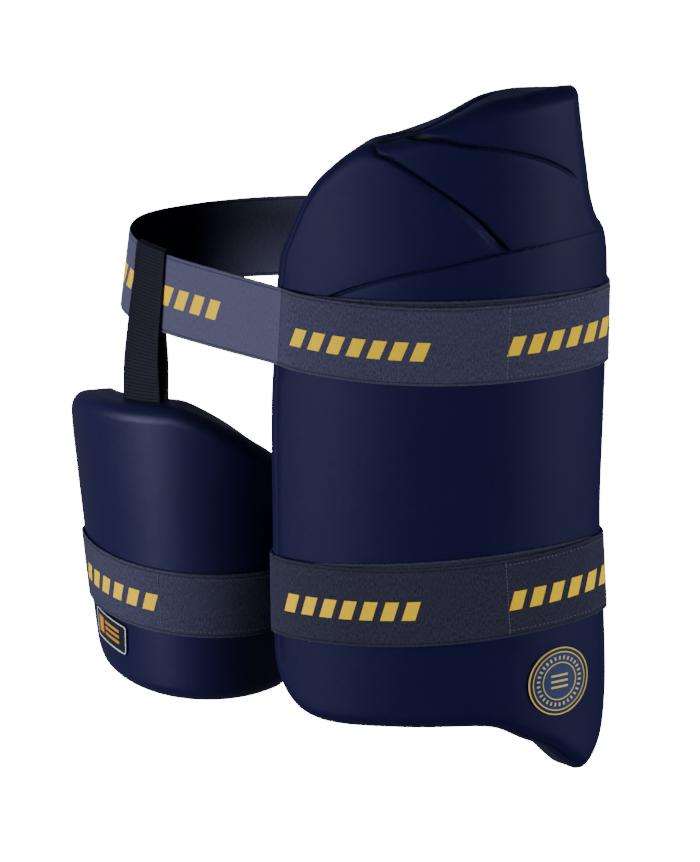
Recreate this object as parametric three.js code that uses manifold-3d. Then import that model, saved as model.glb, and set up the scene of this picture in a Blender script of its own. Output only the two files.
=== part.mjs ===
// A cricket batter's combination thigh guard, worn shape: a large moulded pad for the outside of the
// front thigh, a smaller pad for the inside of the back thigh, one elastic waist belt that carries both,
// and an elastic strap round each thigh.
// Millimetres, +Z up. The origin is the middle of the waist belt's loop, at half the belt's height.
// The wearer faces -Y, so the wearer's left is +X.

import * as THREE from "three";
import { mergeVertices } from "three/addons/utils/BufferGeometryUtils.js";
import Module from "manifold-3d";

const wasm = await Module();
wasm.setup();

const degrees = Math.PI / 180;

// Clearance between two pieces that touch on the real guard.
const clearance = 0.35;

// Spacing of the sections along a band: round a pad's face, round its rolled edge, and elsewhere.
const faceStep = 5 * degrees;
const rollStep = 15 * degrees;
const freeStep = 10;

// Points round each pad's outline, and round an outline that is only measured.
const outerCount = 96;
const innerCount = 68;
const fineCount = 400;

// Rings that carry a pad's faces, and a plate's, as shares of the way from middle to edge.
const padRings = [0.2, 0.4, 0.6, 0.8];
const plateRing = 0.5;

// The angles of a strap's sections behind the thigh, from one edge of its pad to the other.
const strapAngles = [20, 40, 60, 80, 100, 120, 140, 160];

// The large outer pad: where its curved wall is centred, which way it faces, and its sizes.
// across and deep are the half sizes of the hollow that its inner face follows.
const outerPad = {
  centreX: 32,
  centreY: 41,
  facing: 22 * degrees,
  acrossTop: 110,
  acrossBottom: 110,
  deepTop: 110,
  deepBottom: 110,
  halfTurn: 53 * degrees,
  top: 151,
  height: 436,
  thickness: 24,
  edgeRound: 10,
  middle: { turn: 0, up: 0.44 },
};

// The smaller inner pad, which closes a deeper and narrower hollow that tapers towards the knee.
const innerPad = {
  centreX: -117,
  centreY: 29,
  facing: 22 * degrees,
  acrossTop: 62.5,
  acrossBottom: 42.8,
  deepTop: 77,
  deepBottom: 64,
  halfTurn: 90 * degrees,
  top: -69,
  height: 193,
  thickness: 22,
  edgeRound: 10,
  middle: { turn: -0.15, up: 0.48 },
};

// Each pad's lining, a thin sheet under its inner face.
const liningThickness = 2.5;

// Elastic webbing. A strap's slope is its rise to the wearer's left, its lean its rise to the back,
// its reach how far it runs behind the pad's edges, and its pinch how far it draws in there.
const belt = { width: 50, thickness: 1.6, height: -0.7, slope: 0, halfAcross: 146, halfDeep: 113 };
const underBand = { thickness: 1.2, rise: 5, taper: 0.73, sweep: 75 * degrees };
const outerStrap = {
  width: 50,
  thickness: 1.6,
  height: -166,
  slope: 0.085,
  lean: 0,
  reach: 120,
  pinch: 0.2,
};
const innerStrap = {
  width: 42,
  thickness: 1.6,
  height: -196,
  slope: -0.05,
  lean: 0.09,
  reach: 80,
  pinch: 0.1,
};

// The webbing loop that hangs the inner pad from the belt.
// bearing is where round the belt it hangs, padTurn where it meets the pad, crown how wide its top is.
const hanger = {
  width: 30,
  thickness: 1.8,
  slack: 1.4,
  bearing: 198.4 * degrees,
  padTurn: -0.36,
  crown: 0.45,
  columns: 4,
};

// The badge on the outer pad and the label on the inner one, laid on the cover.
const badge = { radius: 21.8, thickness: 1.2, turn: 0.621, height: -223.5, count: 28 };
const label = {
  width: 37,
  tall: 19,
  thickness: 1,
  turn: -0.62,
  height: -226,
  cornerRadius: 3.5,
  roll: -6 * degrees,
  count: 32,
};

// The grooves pressed into the outer pad.
const groove = { halfWidth: 4, depth: 4.5, above: 3, steps: 14 };

// Outline of the outer pad, clockwise from the corner at its top right as seen from outside.
// turn is a share of the half turn, up a share of the height above the lowest point.
const outerOutline = [
  { turn: 0.79, up: 0.994 },
  { turn: 0.72, up: 1 },
  { turn: 0.6, up: 0.999 },
  { turn: 0.46, up: 1 },
  { turn: 0.261, up: 0.997 },
  { turn: 0.013, up: 0.973 },
  { turn: -0.228, up: 0.947 },
  { turn: -0.404, up: 0.93 },
  { turn: -0.493, up: 0.914 },
  { turn: -0.573, up: 0.895 },
  { turn: -0.656, up: 0.873 },
  { turn: -0.744, up: 0.84 },
  { turn: -0.845, up: 0.787 },
  { turn: -0.896, up: 0.757 },
  { turn: -0.933, up: 0.697 },
  { turn: -0.943, up: 0.635 },
  { turn: -0.972, up: 0.535 },
  { turn: -0.967, up: 0.388 },
  { turn: -0.953, up: 0.2 },
  { turn: -0.94, up: 0.158 },
  { turn: -0.875, up: 0.118 },
  { turn: -0.764, up: 0.092 },
  { turn: -0.62, up: 0.082 },
  { turn: -0.21, up: 0.085 },
  { turn: 0.2, up: 0.086 },
  { turn: 0.316, up: 0.081 },
  { turn: 0.45, up: 0.062 },
  { turn: 0.578, up: 0.042 },
  { turn: 0.72, up: 0.01 },
  { turn: 0.806, up: 0 },
  { turn: 0.876, up: 0.01 },
  { turn: 0.944, up: 0.042 },
  { turn: 0.997, up: 0.106 },
  { turn: 0.983, up: 0.24 },
  { turn: 0.953, up: 0.366 },
  { turn: 0.98, up: 0.534 },
  { turn: 1.01, up: 0.69 },
  { turn: 1, up: 0.765 },
  { turn: 0.975, up: 0.79 },
  { turn: 0.917, up: 0.81 },
  { turn: 0.869, up: 0.837 },
  { turn: 0.841, up: 0.9 },
  { turn: 0.813, up: 0.956 },
];

// Outline of the inner pad, in the same terms, from its top left corner.
const innerOutline = [
  { turn: -0.97, up: 0.86 },
  { turn: -0.91, up: 0.92 },
  { turn: -0.81, up: 0.955 },
  { turn: -0.66, up: 0.972 },
  { turn: -0.38, up: 0.99 },
  { turn: -0.14, up: 1 },
  { turn: -0.03, up: 0.98 },
  { turn: 0.128, up: 0.932 },
  { turn: 0.266, up: 0.877 },
  { turn: 0.4, up: 0.817 },
  { turn: 0.5, up: 0.755 },
  { turn: 0.57, up: 0.67 },
  { turn: 0.62, up: 0.54 },
  { turn: 0.64, up: 0.35 },
  { turn: 0.635, up: 0.12 },
  { turn: 0.57, up: 0.03 },
  { turn: 0.4, up: 0 },
  { turn: 0, up: 0.003 },
  { turn: -0.3, up: 0.008 },
  { turn: -0.6, up: 0.018 },
  { turn: -0.82, up: 0.035 },
  { turn: -0.94, up: 0.085 },
  { turn: -0.99, up: 0.2 },
  { turn: -1, up: 0.45 },
  { turn: -1, up: 0.72 },
];

// The three pressed grooves, in the outer pad's terms.
const grooveRoutes = [
  [
    { turn: -0.38, up: 0.965 },
    { turn: -0.326, up: 0.931 },
    { turn: -0.188, up: 0.908 },
    { turn: -0.014, up: 0.877 },
    { turn: 0.216, up: 0.825 },
    { turn: 0.36, up: 0.781 },
  ],
  [
    { turn: -0.247, up: 0.97 },
    { turn: -0.094, up: 0.949 },
    { turn: 0.216, up: 0.931 },
    { turn: 0.429, up: 0.92 },
    { turn: 0.595, up: 0.899 },
    { turn: 0.8, up: 0.844 },
  ],
  [
    { turn: -0.525, up: 0.711 },
    { turn: -0.383, up: 0.73 },
    { turn: -0.148, up: 0.751 },
    { turn: 0.1, up: 0.768 },
    { turn: 0.539, up: 0.783 },
    { turn: 1.05, up: 0.785 },
  ],
];

// Where the belt runs once it has left the outer pad, from its right round the back to its left.
// across and deep are shares of the loop's half sizes, in the outer pad's own directions;
// flare is how far the belt's lower edge stands outside its upper edge, as a share of its width.
const beltRoute = [
  { across: 0.98, deep: -0.12, flare: 0.02 },
  { across: 0.94, deep: 0.25, flare: 0.04 },
  { across: 0.79, deep: 0.61, flare: 0.05 },
  { across: 0.47, deep: 0.9, flare: 0.05 },
  { across: 0.05, deep: 1.02, flare: 0.05 },
  { across: -0.37, deep: 0.99, flare: 0.06 },
  { across: -0.72, deep: 0.81, flare: 0.08 },
  { across: -0.94, deep: 0.62, flare: 0.1 },
  { across: -0.993, deep: 0.42, flare: 0.12 },
  { across: -0.937, deep: 0.16, flare: 0.1 },
  { across: -0.81, deep: -0.05, flare: 0.06 },
  { across: -0.6, deep: -0.315, flare: 0.03 },
];

// The share of the outer pad's half turn at which the belt leaves it on the wearer's right.
const beltLeaves = -0.845;

// A point given across a pad's facing and away from the front of it.
function inPlan(frame, across, deep, z) {
  const cos = Math.cos(frame.facing);
  const sin = Math.sin(frame.facing);
  return new THREE.Vector3(
    frame.centreX + across * cos - deep * sin,
    frame.centreY + across * sin + deep * cos,
    z,
  );
}

// The same the other way: where a point lies across a pad's facing and behind its centre.
function planOf(pad, point) {
  const x = point.x - pad.centreX;
  const y = point.y - pad.centreY;
  return {
    across: x * Math.cos(pad.facing) + y * Math.sin(pad.facing),
    deep: -x * Math.sin(pad.facing) + y * Math.cos(pad.facing),
  };
}

// A point of a pad's curved wall: turn round it, height z, and lift out from its inner face.
function onPad(pad, turn, z, lift) {
  const down = (pad.top - z) / pad.height;
  const across = THREE.MathUtils.lerp(pad.acrossTop, pad.acrossBottom, down) + lift;
  const deep = THREE.MathUtils.lerp(pad.deepTop, pad.deepBottom, down) + lift;
  return inPlan(pad, across * Math.sin(turn), -deep * Math.cos(turn), z);
}

// The flat pattern of a pad: x is the distance round its inner face, y the height.
function patternRadius(pad) {
  return (pad.acrossTop + pad.deepTop) / 2;
}

function flatPoint(pad, row) {
  return new THREE.Vector3(
    row.turn * pad.halfTurn * patternRadius(pad),
    pad.top - pad.height * (1 - row.up),
    0,
  );
}

function wallPoint(pad, flat, lift) {
  return onPad(pad, flat.x / patternRadius(pad), flat.y, lift);
}

function flatOutline(pad, rows, count) {
  const curve = new THREE.CatmullRomCurve3(rows.map((row) => flatPoint(pad, row)), true, "centripetal");
  curve.arcLengthDivisions = 20 * rows.length;
  return curve.getSpacedPoints(count).slice(0, count);
}

// The outward direction at each point of a flat outline, evened out over its neighbours.
function outwardOf(outline) {
  const count = outline.length;
  const area = outline.reduce((sum, p, i) => sum + p.x * outline[(i + 1) % count].y
    - p.y * outline[(i + 1) % count].x, 0);
  const side = Math.sign(area);
  const at = (i) => outline[(i + count) % count];
  return outline.map((_, i) => {
    const along = at(i + 2).clone().add(at(i + 1)).sub(at(i - 1)).sub(at(i - 2));
    return new THREE.Vector3(along.y, -along.x, 0).multiplyScalar(side).normalize();
  });
}

// Builds a geometry with its faces turned outwards.
function facingOut(points, faces) {
  let volume = 0;
  for (let f = 0; f < faces.length; f += 3) {
    const [a, b, c] = [points[faces[f]], points[faces[f + 1]], points[faces[f + 2]]];
    volume += a.dot(new THREE.Vector3().crossVectors(b, c));
  }
  const order = volume < 0 ? [0, 2, 1] : [0, 1, 2];
  const geometry = new THREE.BufferGeometry().setFromPoints(points);
  geometry.setIndex(faces.map((_, k) => faces[k - (k % 3) + order[k % 3]]));
  geometry.computeVertexNormals();
  return geometry;
}

// A closed mesh from rings of equal length: each joins the next, and a fan closes either end.
// The rings' two halves are cut into triangles as mirror images, so that sheets nest face to face.
function solidFromRings(rings, firstCap, lastCap) {
  const count = rings[0].length;
  const points = rings.flat();
  const faces = [];
  for (let r = 0; r + 1 < rings.length; r++) {
    const mirrored = 2 * r + 1 >= rings.length;
    for (let i = 0; i < count; i++) {
      const a = r * count + i;
      const b = r * count + ((i + 1) % count);
      if (mirrored) {
        faces.push(a, b, a + count, b, b + count, a + count);
      } else {
        faces.push(a, b, b + count, a, b + count, a + count);
      }
    }
  }
  const first = points.push(firstCap) - 1;
  const last = points.push(lastCap) - 1;
  const lastRing = (rings.length - 1) * count;
  for (let i = 0; i < count; i++) {
    const next = (i + 1) % count;
    faces.push(first, next, i);
    faces.push(last, lastRing + i, lastRing + next);
  }
  return facingOut(points, faces);
}

// A closed mesh from sections of equal length along a route, whose ends meet or are closed flat.
function solidFromSections(sections, meets) {
  const points = sections.flat();
  const sides = sections[0].length;
  const faces = [];
  const spans = meets ? sections.length : sections.length - 1;
  for (let s = 0; s < spans; s++) {
    const here = s * sides;
    const there = ((s + 1) % sections.length) * sides;
    for (let i = 0; i < sides; i++) {
      const next = (i + 1) % sides;
      faces.push(here + i, here + next, there + next, here + i, there + next, there + i);
    }
  }
  if (!meets) {
    const end = (sections.length - 1) * sides;
    for (const [a, b, c] of sectionTriangles(sides)) {
      faces.push(a, c, b, end + a, end + b, end + c);
    }
  }
  return facingOut(points, faces);
}

// The triangles of a section whose first half of points runs opposite its second half.
function sectionTriangles(sides) {
  const triangles = [];
  for (let k = 0; k + 1 < sides - 1 - k; k++) {
    triangles.push([k, k + 1, sides - 1 - k]);
    if (k + 1 < sides - 2 - k) {
      triangles.push([k + 1, sides - 2 - k, sides - 1 - k]);
    }
  }
  return triangles;
}

// A pad's solid: its outline on the inner face, up its wall, and drawn in on the outer face.
// edge holds the steps of the wall, each with how far it is drawn in and how far it is lifted.
function padGeometry(pad, rows, edge, count) {
  const outline = flatOutline(pad, rows, count);
  const outward = outwardOf(outline);
  const middle = flatPoint(pad, pad.middle);
  const ring = (inset, lift, share) =>
    outline.map((p, i) => {
      const drawnIn = p.clone().addScaledVector(outward[i], -inset);
      return wallPoint(pad, drawnIn.lerp(middle, 1 - share), lift);
    });
  const low = edge[0];
  const high = edge[edge.length - 1];
  const rings = [
    ...padRings.map((share) => ring(low.inset, low.lift, share)),
    ...edge.map((step) => ring(step.inset, step.lift, 1)),
    ...padRings.toReversed().map((share) => ring(high.inset, high.lift, share)),
  ];
  return solidFromRings(rings, wallPoint(pad, middle, low.lift), wallPoint(pad, middle, high.lift));
}

// The wall of a foam block: straight up, then a quarter round on to its face.
function blockEdge(pad) {
  const round = pad.edgeRound;
  const arc = [0, 30, 60, 90].map((angle) => ({
    inset: round * (1 - Math.cos(angle * degrees)),
    lift: pad.thickness - round * (1 - Math.sin(angle * degrees)),
  }));
  return [{ inset: 0, lift: 0 }, ...arc];
}

function liningEdge() {
  return [
    { inset: 0, lift: -clearance - liningThickness },
    { inset: 0, lift: -clearance },
  ];
}

// A V-shaped cutter that follows a groove's route over the pad's face.
function grooveCutter(pad, route) {
  const curve = new THREE.CatmullRomCurve3(route.map((row) => flatPoint(pad, row)), false, "centripetal");
  const sections = [];
  for (let i = 0; i <= groove.steps; i++) {
    const at = curve.getPointAt(i / groove.steps);
    const along = curve.getTangentAt(i / groove.steps);
    const aside = new THREE.Vector3(-along.y, along.x, 0).multiplyScalar(groove.halfWidth);
    sections.push([
      wallPoint(pad, at, pad.thickness - groove.depth),
      wallPoint(pad, at.clone().add(aside), pad.thickness + groove.above),
      wallPoint(pad, at.clone().sub(aside), pad.thickness + groove.above),
    ]);
  }
  return solidFromSections(sections, false);
}

function manifoldOf(geometry) {
  const bare = geometry.clone();
  bare.deleteAttribute("normal");
  bare.deleteAttribute("uv");
  const merged = mergeVertices(bare, 1e-4);
  return new wasm.Manifold(
    new wasm.Mesh({
      numProp: 3,
      vertProperties: new Float32Array(merged.attributes.position.array),
      triVerts: new Uint32Array(merged.index.array),
    }),
  );
}

function geometryOf(manifold) {
  const mesh = manifold.getMesh();
  const geometry = new THREE.BufferGeometry();
  geometry.setAttribute("position", new THREE.BufferAttribute(mesh.vertProperties, 3));
  geometry.setIndex(new THREE.BufferAttribute(mesh.triVerts, 1));
  geometry.computeVertexNormals();
  return geometry;
}

function groovedPadGeometry(pad, rows, routes, count) {
  const block = manifoldOf(padGeometry(pad, rows, blockEdge(pad), count));
  const cutters = routes.map((route) => manifoldOf(grooveCutter(pad, route)));
  return geometryOf(cutters.reduce((solid, cutter) => solid.subtract(cutter), block));
}

// The turns at which a pad's outline crosses a height, on its left and its right.
function edgeTurns(pad, rows, z) {
  const outline = flatOutline(pad, rows, fineCount);
  const crossings = outline.flatMap((p, i) => {
    const next = outline[(i + 1) % outline.length];
    if (p.y > z === next.y > z) return [];
    return [THREE.MathUtils.mapLinear(z, p.y, next.y, p.x, next.x)];
  });
  const radius = patternRadius(pad);
  return [Math.min(...crossings) / radius, Math.max(...crossings) / radius];
}

// The middle of a band's thickness above what it lies on.
function bandLift(pad, band, under) {
  return pad.thickness + under + clearance + band.thickness / 2;
}

// One edge of a band over a pad, left to right, at a height that may slope:
// round the left rolled edge, over the face, and round the right rolled edge.
function edgeOverPad(pad, rows, band, z, lift) {
  const radius = patternRadius(pad);
  const heightAt = (turn) => z + band.slope * pad.acrossTop * Math.sin(turn);
  const reach = pad.edgeRound + clearance + band.thickness / 2;
  const [leftGuess, rightGuess] = edgeTurns(pad, rows, z);
  const left = edgeTurns(pad, rows, heightAt(leftGuess))[0] + pad.edgeRound / radius;
  const right = edgeTurns(pad, rows, heightAt(rightGuess))[1] - pad.edgeRound / radius;
  const rollPoint = (turn, side, angle) => {
    const past = turn + (side * reach * Math.cos(angle)) / radius;
    const rise = pad.thickness - pad.edgeRound + reach * Math.sin(angle);
    return onPad(pad, past, heightAt(past), rise);
  };
  const angles = [3, 2, 1].map((steps) => Math.PI / 2 - steps * rollStep);
  const faceSteps = Math.ceil((2 * pad.halfTurn) / faceStep);
  const face = Array.from({ length: faceSteps + 1 }, (_, i) => {
    const turn = THREE.MathUtils.lerp(left, right, i / faceSteps);
    const atEnd = i === 0 || i === faceSteps;
    return onPad(pad, turn, heightAt(turn), atEnd ? bandLift(pad, band, 0) : lift);
  });
  return [
    ...angles.map((angle) => rollPoint(left, -1, angle)),
    ...face,
    ...angles.toReversed().map((angle) => rollPoint(right, 1, angle)),
  ];
}

// Both edges of a band over a pad, as one list of stations with a top and a bottom.
function stationsOverPad(pad, rows, band, lift) {
  const top = edgeOverPad(pad, rows, band, band.height + band.width / 2, lift);
  const bottom = edgeOverPad(pad, rows, band, band.height - band.width / 2, lift);
  return top.map((point, i) => ({ top: point, bottom: bottom[i] }));
}

// Adds stations along a smooth curve through the given ones, no further apart than freeStep.
// The first and last stations only set the direction there.
function smoothed(stations) {
  const tops = new THREE.CatmullRomCurve3(stations.map((s) => s.top), false, "centripetal");
  const bottoms = new THREE.CatmullRomCurve3(stations.map((s) => s.bottom), false, "centripetal");
  const spans = stations.length - 1;
  const result = [];
  for (let s = 1; s + 1 < spans; s++) {
    const pieces = Math.ceil(stations[s].top.distanceTo(stations[s + 1].top) / freeStep);
    for (let i = 0; i < pieces; i++) {
      const t = (s + i / pieces) / spans;
      result.push({ top: tops.getPoint(t), bottom: bottoms.getPoint(t) });
    }
  }
  return result.slice(1);
}

// Joins the stations over a pad with those of the free stretch into one whole loop.
function closedLoop(over, free) {
  const route = [...over.slice(-2), ...free, ...over.slice(0, 2)];
  return [...over, ...smoothed(route)];
}

function middleOf(station) {
  return station.top.clone().add(station.bottom).multiplyScalar(0.5);
}

// A band of webbing through its stations.
function bandGeometry(stations, thickness, meets) {
  const count = stations.length;
  const middles = stations.map(middleOf);
  const sections = stations.map((s, i) => {
    const before = meets ? (i + count - 1) % count : Math.max(i - 1, 0);
    const after = meets ? (i + 1) % count : Math.min(i + 1, count - 1);
    const along = middles[after].clone().sub(middles[before]);
    const out = s.top.clone().sub(s.bottom).cross(along).setLength(thickness / 2);
    return [
      s.top.clone().add(out),
      s.bottom.clone().add(out),
      s.bottom.clone().sub(out),
      s.top.clone().sub(out),
    ];
  });
  return solidFromSections(sections, meets);
}

// How much a band stands off where it crosses the under band.
const stacked = underBand.thickness + clearance;

// The lowest layer: a short band sewn across the outer pad under each long one, which shows above it.
function underBandGeometry(band) {
  const lift = bandLift(outerPad, underBand, 0);
  const halfTurn = outerPad.halfTurn * underBand.taper;
  const steps = Math.ceil((2 * halfTurn) / faceStep);
  const stations = Array.from({ length: steps + 1 }, (_, i) => {
    const turn = THREE.MathUtils.lerp(-halfTurn, halfTurn, i / steps);
    const rise = underBand.rise * Math.cos((turn / halfTurn) * underBand.sweep);
    const z = band.height + rise + band.slope * outerPad.acrossTop * Math.sin(turn);
    return {
      top: onPad(outerPad, turn, z + band.width / 2, lift),
      bottom: onPad(outerPad, turn, z - band.width / 2, lift),
    };
  });
  return bandGeometry(stations, underBand.thickness, false);
}

// The belt: over the outer pad from where it leaves it on one side to its far edge, then free.
function beltStations() {
  const leaves = beltLeaves * outerPad.halfTurn;
  const lift = bandLift(outerPad, belt, stacked);
  const over = stationsOverPad(outerPad, outerOutline, belt, lift).filter((s) => {
    const { across, deep } = planOf(outerPad, s.top);
    return Math.atan2(across, -deep) > leaves;
  });
  const loop = { centreX: 0, centreY: 0, facing: outerPad.facing };
  const free = beltRoute.map((row) => {
    const across = row.across * belt.halfAcross;
    const deep = row.deep * belt.halfDeep;
    const out = new THREE.Vector2(across, deep).setLength((row.flare * belt.width) / 2);
    return {
      top: inPlan(loop, across - out.x, deep - out.y, belt.height + belt.width / 2),
      bottom: inPlan(loop, across + out.x, deep + out.y, belt.height - belt.width / 2),
    };
  });
  return closedLoop(over, free);
}

// A thigh strap: over its pad and round both edges, then half an oval behind the thigh.
function strapStations(pad, rows, strap, under) {
  const over = stationsOverPad(pad, rows, strap, bandLift(pad, strap, under));
  const behind = (edge, angle) => {
    const start = over[over.length - 1][edge];
    const end = over[0][edge];
    const from = planOf(pad, start);
    const to = planOf(pad, end);
    const share = (1 - Math.cos(angle)) / 2;
    const bulge = strap.reach * Math.sin(angle);
    const middle = (from.across + to.across) / 2;
    const wide = THREE.MathUtils.lerp(from.across, to.across, share) - middle;
    const across = middle + wide * (1 - strap.pinch * Math.sin(angle));
    const deep = THREE.MathUtils.lerp(from.deep, to.deep, share) + bulge;
    return inPlan(pad, across, deep, THREE.MathUtils.lerp(start.z, end.z, share) + strap.lean * bulge);
  };
  const free = strapAngles.map((angle) => ({
    top: behind("top", angle * degrees),
    bottom: behind("bottom", angle * degrees),
  }));
  return closedLoop(over, free);
}

// A disc or plate laid on a pad's cover: rings drawn in from its edge on both faces.
function plateGeometry(pad, edge, place) {
  const down = (pad.top - place.height) / pad.height;
  const turn = place.turn * pad.halfTurn;
  const across = THREE.MathUtils.lerp(pad.acrossTop, pad.acrossBottom, down) + pad.thickness;
  const deep = THREE.MathUtils.lerp(pad.deepTop, pad.deepBottom, down) + pad.thickness;
  const spread = patternRadius(pad) / Math.hypot(across * Math.cos(turn), deep * Math.sin(turn));
  const middle = new THREE.Vector3(turn * patternRadius(pad), place.height, 0);
  const low = pad.thickness + clearance;
  const high = low + place.thickness;
  const ring = (share, lift) =>
    edge.map((p) => {
      const flat = new THREE.Vector3(p.x * share * spread, p.y * share, 0).add(middle);
      return wallPoint(pad, flat, lift);
    });
  const rings = [ring(plateRing, low), ring(1, low), ring(1, high), ring(plateRing, high)];
  return solidFromRings(rings, wallPoint(pad, middle, low), wallPoint(pad, middle, high));
}

function circleEdge(disc) {
  return Array.from({ length: disc.count }, (_, i) => {
    const angle = (2 * Math.PI * i) / disc.count;
    return new THREE.Vector2(disc.radius * Math.cos(angle), disc.radius * Math.sin(angle));
  });
}

function roundedPlateEdge(plate) {
  const x = plate.width / 2 - plate.cornerRadius;
  const y = plate.tall / 2 - plate.cornerRadius;
  const shape = new THREE.Shape();
  shape.absarc(x, y, plate.cornerRadius, 0, Math.PI / 2);
  shape.absarc(-x, y, plate.cornerRadius, Math.PI / 2, Math.PI);
  shape.absarc(-x, -y, plate.cornerRadius, Math.PI, 1.5 * Math.PI);
  shape.absarc(x, -y, plate.cornerRadius, 1.5 * Math.PI, 2 * Math.PI);
  const centre = new THREE.Vector2(0, 0);
  const edge = shape.getSpacedPoints(plate.count).slice(0, plate.count);
  return edge.map((p) => p.rotateAround(centre, plate.roll));
}

// The belt under the hanger, at steps across the hanger's width: its edges and its outward direction.
function beltUnderHanger(stations, offsets) {
  const closed = (points) => new THREE.CatmullRomCurve3(points, true, "centripetal");
  const middles = closed(stations.map(middleOf));
  const tops = closed(stations.map((s) => s.top));
  const bottoms = closed(stations.map((s) => s.bottom));
  const aim = new THREE.Vector3(Math.cos(hanger.bearing), Math.sin(hanger.bearing), 0);
  const nearness = middles.getSpacedPoints(fineCount).map((p) => aim.dot(p.setZ(0).normalize()));
  const place = nearness.indexOf(Math.max(...nearness)) / fineCount;
  return offsets.map((offset) => {
    const t = middles.getUtoTmapping(place + offset / middles.getLength());
    const along = middles.getTangent(t);
    const out = new THREE.Vector3(along.y, -along.x, 0).normalize();
    out.multiplyScalar(Math.sign(out.dot(aim)));
    return { top: tops.getPoint(t), bottom: bottoms.getPoint(t), out };
  });
}

// Where the hanger's ends stand on the inner pad's top edge, at the same steps.
function hangerFeet(offsets) {
  const turn = hanger.padTurn * innerPad.halfTurn;
  const lift = (innerPad.thickness - innerPad.edgeRound) / 2;
  const radius = patternRadius(innerPad);
  const above = flatPoint(innerPad, innerPad.middle).y;
  const edge = flatOutline(innerPad, innerOutline, fineCount).filter((p) => p.y > above);
  return offsets.map((offset) => {
    const at = turn + offset / (radius + lift);
    const away = edge.map((p) => Math.abs(p.x - at * radius));
    const z = edge[away.indexOf(Math.min(...away))].y + 2 * clearance;
    const out = onPad(innerPad, at, z, lift + 1).sub(onPad(innerPad, at, z, lift));
    return { at: onPad(innerPad, at, z, lift), out };
  });
}

// The hanger's path beside the belt's middle line: heights, and how far out each lies.
function hangerPath(foot) {
  const half = belt.thickness / 2 + clearance + hanger.thickness / 2;
  const beltTop = belt.height + belt.width / 2;
  const beltBottom = belt.height - belt.width / 2;
  const outerPly = [
    { z: foot, out: hanger.thickness / 2 + clearance },
    { z: THREE.MathUtils.lerp(foot, beltBottom, 0.5), out: half + hanger.slack },
    { z: beltBottom, out: half + hanger.slack / 2 },
    { z: belt.height, out: half },
    { z: beltTop, out: half },
    { z: beltTop + clearance + hanger.thickness / 2, out: half * hanger.crown },
  ];
  return [...outerPly, ...outerPly.toReversed().map((p) => ({ z: p.z, out: -p.out }))];
}

// One lengthwise line of the hanger: its points, and the direction of its thickness at each.
function hangerLine(under, foot) {
  const beltTop = belt.height + belt.width / 2;
  const beltBottom = belt.height - belt.width / 2;
  const path = hangerPath(foot.at.z);
  return path.map((p, i) => {
    const share = THREE.MathUtils.clamp((beltBottom - p.z) / (beltBottom - foot.at.z), 0, 1);
    const up = (Math.max(p.z, beltBottom) - beltBottom) / (beltTop - beltBottom);
    const onBelt = under.bottom.clone().lerp(under.top, up);
    const out = under.out.clone().lerp(foot.out, share).normalize();
    const before = path[Math.max(i - 1, 0)];
    const after = path[Math.min(i + 1, path.length - 1)];
    const square = new THREE.Vector2(after.z - before.z, before.out - after.out);
    square.setLength(hanger.thickness / 2);
    return {
      at: onBelt.lerp(foot.at, share).setZ(p.z).addScaledVector(out, p.out),
      thick: out.multiplyScalar(square.x).setZ(square.y),
    };
  });
}

// The hanger: up outside the belt, over its top edge and down behind it, with both ends on the
// inner pad's top edge, turned a little on its way from the belt's line to the pad's.
function hangerGeometry(beltRing) {
  const count = hanger.columns + 1;
  const offsets = Array.from({ length: count }, (_, i) => hanger.width * (i / hanger.columns - 0.5));
  const under = beltUnderHanger(beltRing, offsets);
  const feet = hangerFeet(offsets);
  const lines = offsets.map((_, i) => hangerLine(under[i], feet[i]));
  const sections = lines[0].map((_, row) => [
    ...lines.map((line) => line[row].at.clone().add(line[row].thick)),
    ...lines.toReversed().map((line) => line[row].at.clone().sub(line[row].thick)),
  ]);
  return solidFromSections(sections, false);
}

// Finishes.
const cover = new THREE.MeshStandardMaterial({ color: 0x14173a, roughness: 0.62, metalness: 0 });
const liningCloth = new THREE.MeshStandardMaterial({ color: 0x15161f, roughness: 0.95, metalness: 0 });
const elastic = new THREE.MeshStandardMaterial({ color: 0x34374f, roughness: 0.85, metalness: 0 });
const webbing = new THREE.MeshStandardMaterial({ color: 0x0d1119, roughness: 0.8, metalness: 0 });
const badgeRubber = new THREE.MeshStandardMaterial({ color: 0x1c4a77, roughness: 0.5, metalness: 0 });
const labelFilm = new THREE.MeshStandardMaterial({ color: 0x10161c, roughness: 0.4, metalness: 0 });

const guard = new THREE.Group();

function addPiece(name, geometry, material) {
  const mesh = new THREE.Mesh(geometry, material.clone());
  mesh.name = name;
  guard.add(mesh);
}

addPiece("outer_pad", groovedPadGeometry(outerPad, outerOutline, grooveRoutes, outerCount), cover);
addPiece("outer_pad_lining", padGeometry(outerPad, outerOutline, liningEdge(), outerCount), liningCloth);
addPiece("inner_pad", padGeometry(innerPad, innerOutline, blockEdge(innerPad), innerCount), cover);
addPiece("inner_pad_lining", padGeometry(innerPad, innerOutline, liningEdge(), innerCount), liningCloth);

const beltRing = beltStations();
const outerRing = strapStations(outerPad, outerOutline, outerStrap, stacked);
const innerRing = strapStations(innerPad, innerOutline, innerStrap, 0);
addPiece("waist_belt", bandGeometry(beltRing, belt.thickness, true), elastic);
addPiece("belt_under_band", underBandGeometry(belt), elastic);
addPiece("outer_thigh_strap", bandGeometry(outerRing, outerStrap.thickness, true), elastic);
addPiece("strap_under_band", underBandGeometry(outerStrap), elastic);
addPiece("inner_thigh_strap", bandGeometry(innerRing, innerStrap.thickness, true), elastic);
addPiece("hanger_loop", hangerGeometry(beltRing), webbing);

addPiece("round_badge", plateGeometry(outerPad, circleEdge(badge), badge), badgeRubber);
addPiece("side_label", plateGeometry(innerPad, roundedPlateEdge(label), label), labelFilm);

export default guard;
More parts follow.
